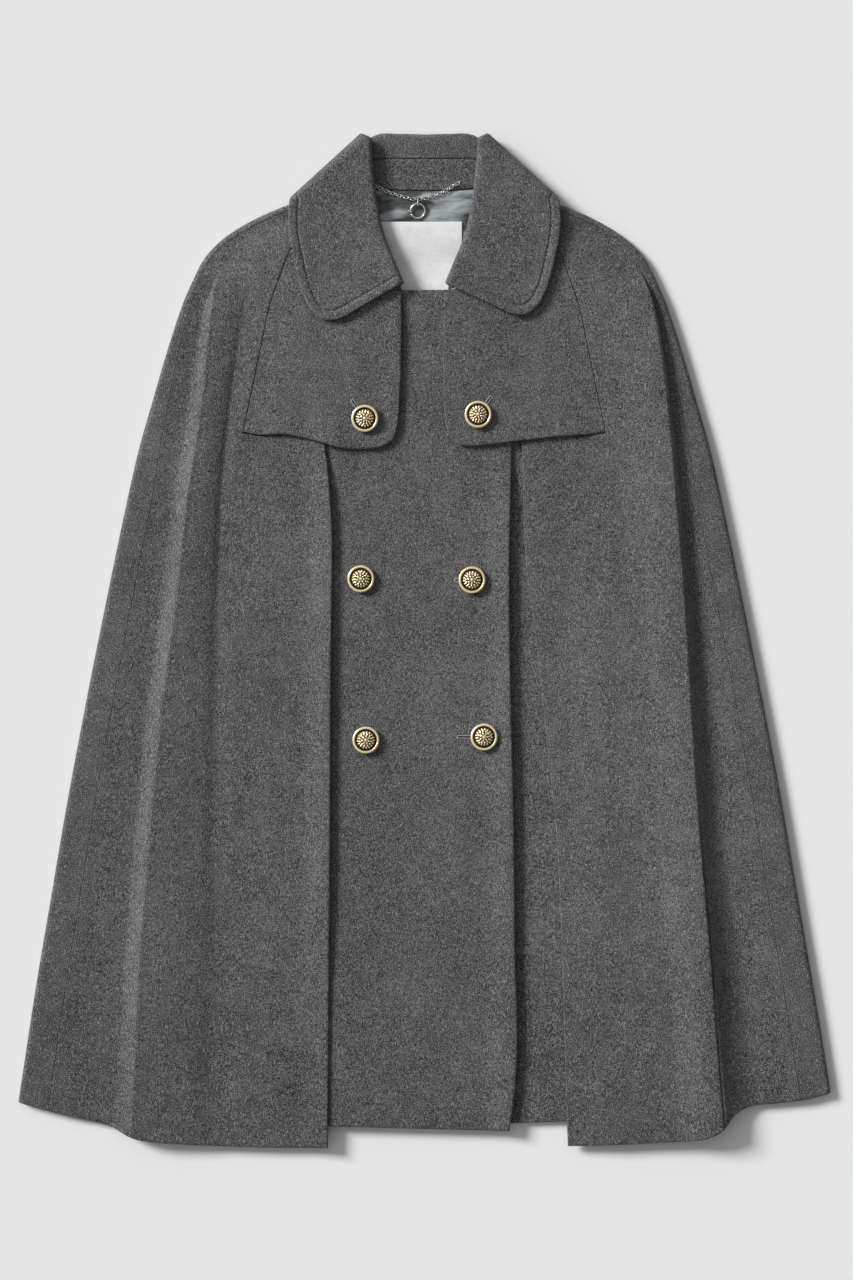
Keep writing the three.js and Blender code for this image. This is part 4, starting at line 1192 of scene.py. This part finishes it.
# Middle link that carries the ring, and the ring: its pivot, its tilt down to the lining, and the
# split in its wire as the angle it lies at and half its angle
RING_LINK_CENTRE = (-5.6, 371.8, 11.0)
RING_LINK_HALVES = (2.7, 2.3)
RING_LINK_WIRE = 0.5
RING_PIVOT = np.array([-5.6, 371.1, 10.9])
RING_RADIUS = 6.1
RING_WIRE = 0.9
RING_DROOP = math.radians(9)
SPLIT_AT = math.radians(200)
SPLIT_HALF = 0.035
RING_STEPS = 73


def oval_loops(centres, long_way, plane_normal, half_length, half_width):
    """Closed oval paths in a plane: a circle stretched along the chain."""
    angle = 2 * math.pi * np.arange(20) / 20
    short_way = np.cross(plane_normal, long_way)
    return (centres[:, None]
            + half_length * np.cos(angle)[None, :, None] * long_way[:, None]
            + half_width * np.sin(angle)[None, :, None] * short_way[:, None])


route_x = np.linspace(CHAIN_ROUTE[0, 0], CHAIN_ROUTE[-1, 0], 200)
route = np.stack([route_x] + [spline(CHAIN_ROUTE[:, 0], CHAIN_ROUTE[:, k], route_x, False)
                              for k in (1, 2)], axis=-1)
links = dense(route, LINK_PITCH)
way = unit(np.gradient(links, axis=0))
flatwise = unit(UP - way * way[:, 2:])
edgewise = np.cross(flatwise, way)
tilt = (LINK_TILT + math.pi / 2 * (np.arange(len(links)) % 2))[:, None]
plane = unit(flatwise * np.cos(tilt) + edgewise * np.sin(tilt))
loops = oval_loops(links, way, plane, *LINK_HALVES)
loop_parts = [wires(loop[None], LINK_WIRE, normal, 8, closed=True)
              for loop, normal in zip(loops, plane)]
ring_link = oval_loops(np.array([RING_LINK_CENTRE]), np.array([[0.0, 1.0, 0.0]]), ACROSS[None],
                       *RING_LINK_HALVES)
loop_parts.append(wires(ring_link, RING_LINK_WIRE, ACROSS, 8, closed=True))
piece(new_object("chain_links", *gathered(loop_parts)), steel,
      stands_for="hanger_chain")

turn = SPLIT_AT + np.linspace(SPLIT_HALF, 2 * math.pi - SPLIT_HALF, RING_STEPS)
ring_path = np.stack([RING_RADIUS * np.cos(turn), RING_RADIUS * np.sin(turn) - RING_RADIUS,
                      0 * turn], axis=-1)
droop = np.array([[1, 0, 0], [0, math.cos(RING_DROOP), -math.sin(RING_DROOP)],
                  [0, math.sin(RING_DROOP), math.cos(RING_DROOP)]])
ring_path = ring_path @ droop.T + RING_PIVOT
ends = np.ones(RING_STEPS)
ends[[0, -1]] = 0.02
ends[[1, -2]] = 0.85
piece(new_object("ring_wire", *wires(ring_path[None], RING_WIRE * ends[None], droop @ UP, 12)),
      steel, body="ring", stands_for="hanger_ring")

# Buttons: the dome, the groove round it and the rolled rim by their radii, the underside as
# radius and height, and the rings of raised spots: height, radius of the ring, half width,
# number of spots, share of the ring that they fill, and start
DOME_TOP = 5.75
DOME_DROP = 2.4
DOME_RADIUS = 9.0
GROOVE_RADIUS = 8.5
GROOVE_DEPTH = 0.9
RIM_START = 8.7
RIM_MIDDLE = 10.2
RIM_HALF = 1.4
BUTTON_RADIUS = 11.5
BUTTON_TOP = 6.2
BUTTON_TURN = 0.37
UNDERSIDE = np.array([(11.5, 2.6), (11.0, 2.1), (10.0, 1.8), (4.0, 1.5), (4.0, 0.0), (0.0, 0.0)])
SPOTS = [(0.6, 2.9, 0.8, 7, 0.7, 0.0), (0.65, 4.9, 0.75, 12, 0.6, 0.9),
         (0.6, 6.7, 0.7, 17, 0.65, 0.3), (0.3, 5.8, 0.35, 24, 0.5, 0.0)]


def button_mesh(name, centre_x, centre_y, base, turned):
    """Domed button turned round its axis: a parabola with a boss, rings of spots and a bell
    shaped groove, and a rim whose section is half an ellipse. The spots of a ring are a bell
    across it times an eased square of the cosine round it."""
    radius = np.concatenate([np.linspace(0, 8.9, 36), np.linspace(9.1, BUTTON_RADIUS, 14),
                             UNDERSIDE[:, 0]])
    angle = 2 * math.pi * np.arange(120) / 120
    r, a = np.meshgrid(radius, angle, indexing="ij")
    relief = 0.5 * np.exp(-(r / 1.3) ** 2)
    for height, at, wide, count, share, start in SPOTS:
        round_it = np.cos(count * (a - turned) / 2 + start) ** 2
        across = np.exp(-((r - at) / wide) ** 2)
        relief += height * (across * smooth((round_it - 1 + share) / share * 1.6))
    groove = GROOVE_DEPTH * np.exp(-((r - GROOVE_RADIUS) / 0.4) ** 2)
    dome = DOME_TOP - DOME_DROP * (r / DOME_RADIUS) ** 2 - groove
    roll = np.sqrt(np.clip(1 - ((r - RIM_MIDDLE) / RIM_HALF) ** 2, 0, 1))
    rim = 2.0 + rise(r, RIM_START, 0.7) * (1.6 + 1.15 * roll)
    top = np.where(r > RIM_START, np.maximum(dome, rim), dome) + relief
    top = np.minimum(top, BUTTON_TOP)
    top[-len(UNDERSIDE):] = UNDERSIDE[:, 1:]
    polish = np.clip(relief * 1.5 + 0.12 + rise(r, 9.2, 0.5) * 0.9, 0, 1)
    polish[-len(UNDERSIDE):] = 0.4
    vertices = np.stack([centre_x + r * np.cos(a), centre_y + r * np.sin(a), base + top], axis=-1)
    index = np.arange(r.size).reshape(r.shape)
    faces = quads_of(index, wrap=True)[:, ::-1]
    return new_object(name, vertices.reshape(-1, 3), faces, [("polish", polish.ravel())])


button_places = []
for row in ("top", "middle", "bottom"):
    for name, _ in SIDES:
        node = f"button_{row}_{name}"
        low, high = (np.array(corner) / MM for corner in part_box(node))
        middle_x, middle_y = (low[:2] + high[:2]) / 2
        turned = BUTTON_TURN * len(button_places)
        button_places.append((middle_x, middle_y))
        piece(button_mesh(f"{node}_brass", middle_x, middle_y, low[2], turned), brass,
              stands_for=node)

# Topstitching on the collar, by the seam on its back, below the top edge of the front on top, and
# above the flaps' lower edges
STAND_STITCH_HALF = 43.0
FRONT_STITCH_Y = 288.0
FLAP_STITCH_INSET = 9.5


def stand_top(xy):
    """Upper side of the collar's back at the seam."""
    return np.full(len(xy), STAND_BACK_LEVEL + COLLAR_CLOTH / 2)


def front_top(xy):
    """Upper side of the front on top."""
    return over_height(xy[:, 0], xy[:, 1]) + FRONT_CLOTH / 2


collar_top = surface_over(fall, COLLAR_CLOTH)
front_rows = len(COLLAR_FRONT_STATIONS)
runs = []
for part in (fall[:front_rows], fall[:-front_rows - 1:-1]):
    line = dense(np.concatenate([part[0, 4:], part[:, -1]])[:, :2], 2.0)
    tangent = unit(np.gradient(line, axis=0))
    inward = np.stack([-tangent[:, 1], tangent[:, 0]], axis=-1)
    inward *= np.sign((inward * (part[:, 3].mean(0)[:2] - line)).sum())
    inset = line + inward * STITCH_INSET
    away = np.sqrt(((inset[:, None] - line[None]) ** 2).sum(-1)).min(1)
    runs.append(stitch_run(inset[away > STITCH_INSET - 0.4], collar_top))
x = np.linspace(-STAND_STITCH_HALF, STAND_STITCH_HALF, 30)
seam_line = np.stack([x, 413.6 - 4.6 * (x / STAND_STITCH_HALF) ** 2], axis=-1)
runs.append(stitch_run(seam_line, stand_top))
top_line = np.stack([np.linspace(-19, 17, 20), np.full(20, FRONT_STITCH_Y)], axis=-1)
runs.append(stitch_run(top_line, front_top))
x = np.linspace(78, 138, 30)
for name, side in SIDES:
    edge_x, edge_y = np.array(SLIT_LINE[name][::-1]).T
    flap_line = np.stack([side * x, np.interp(x, edge_x, edge_y) + FLAP_STITCH_INSET], axis=-1)
    runs.append(stitch_run(flap_line, flap_tops[name]))
piece(new_object("topstitch_thread", *gathered(runs)), thread)

# Buttonholes, each a near-black wire sunk between two rows of thread as painted shade in the slot's
# opening: its button, how far it reaches from the button's centre, its direction in degrees, and
# the cloth that it is in
HOLES = [(0, 19.4, 125, flap_tops["right"]), (1, 19.4, 54, flap_tops["left"]),
         (3, 14.5, 180, front_top), (5, 22.5, 180, front_top)]
HOLE_START = -4.0
ROW_OFFSET = 1.05
ROW_LIFT = 0.1
ROW_RADIUS = 0.42
ROW_PITCH = 0.95
END_HALF = 1.3
END_RADIUS = 0.45
SLOT_SINK = 0.25
SLOT_RADIUS = 0.75


def hole_wire(hole, along, across, lift, radius):
    """Wire on the cloth, at distances along a buttonhole and across it from its button."""
    number, _, degrees, cloth_top = hole
    middle_x, middle_y = button_places[number]
    way_x, way_y = math.cos(math.radians(degrees)), math.sin(math.radians(degrees))
    xy = np.stack([middle_x + along * way_x - across * way_y,
                   middle_y + along * way_y + across * way_x], axis=-1)
    path = np.concatenate([xy, (cloth_top(xy) + lift)[:, None]], axis=1)
    return wires(path[None], radius, UP, 8)


hole_threads, hole_slot_shades = [], []
for hole in HOLES:
    along = np.linspace(HOLE_START, hole[1], 90)
    bumps = ROW_RADIUS * (1 + 0.22 * np.cos(2 * math.pi * along / ROW_PITCH))
    hole_threads += [hole_wire(hole, along, offset, ROW_LIFT, bumps)
                     for offset in (-ROW_OFFSET, ROW_OFFSET)]
    end = np.linspace(-END_HALF, END_HALF, 24)
    hole_threads.append(hole_wire(hole, hole[1], end, 0.0, END_RADIUS))
    # Near-black wire sunk in the cloth along the slot: painted shade in its opening
    hole_slot_shades.append(hole_wire(hole, along, 0.0, -SLOT_SINK, SLOT_RADIUS))
piece(new_object("buttonhole_thread", *gathered(hole_threads)), light_thread)
piece(new_object("buttonhole_painted_shade", *gathered(hole_slot_shades)), painted_slot_shade)

# Camera, in metres: its height over the floor, the level of the cloth that the photo's scale is
# true at, and the length that the long side of the picture shows there
CAMERA_HEIGHT = 3.0
CLOTH_TOP = 0.01
PICTURE_LENGTH = 1.088
SENSOR = 36.0
camera_data = bpy.data.cameras.new("camera")
camera_data.lens = SENSOR * (CAMERA_HEIGHT - CLOTH_TOP) / PICTURE_LENGTH
camera_data.clip_end = 20.0
camera = add_object("camera", camera_data)
camera.location = (0.0017, 0.0004, CAMERA_HEIGHT)
bpy.context.scene.camera = camera

# Window light from the upper left, and a studio that is brighter on that side
LAMP_UP = math.radians(30)
LAMP_ROUND = math.radians(150)
STUDIO_BRIGHT_SIDE = (-0.8, 0.45, 0.4)
lamp_data = bpy.data.lights.new("window", "SUN")
lamp_data.angle = math.radians(18)
lamp_data.energy = 4.0
lamp = add_object("window", lamp_data)
lamp.rotation_euler = (0.0, math.pi / 2 - LAMP_UP, LAMP_ROUND)

studio = Graph("studio", "worlds")
direction = studio.node("ShaderNodeTexCoord", {}, {}, "Generated")
toward = studio.node("ShaderNodeVectorMath", {"operation": "DOT_PRODUCT"},
                     {0: direction, 1: STUDIO_BRIGHT_SIDE}, "Value")
strength = studio.node("ShaderNodeMapRange", {"interpolation_type": "SMOOTHSTEP"}, {
    "Value": toward, "From Min": -0.7, "From Max": 1.0, "To Min": 0.06, "To Max": 0.56})
glow = studio.node("ShaderNodeBackground", {}, {"Color": grey(1.0), "Strength": strength},
                   "Background")
studio.node("ShaderNodeOutputWorld", {}, {"Surface": glow})
bpy.context.scene.world = studio.owner
bpy.context.scene.view_settings.view_transform = "Standard"

FLOOR_HALF = 3000.0
FLOOR_LEVEL = -0.5
corners = np.array([(-1, -1), (1, -1), (1, 1), (-1, 1)]) * FLOOR_HALF
floor = new_object("floor", np.column_stack([corners, np.full(4, FLOOR_LEVEL)]),
                   np.array([(0, 1, 2, 3)]))
floor.data.materials.append(floor_material())
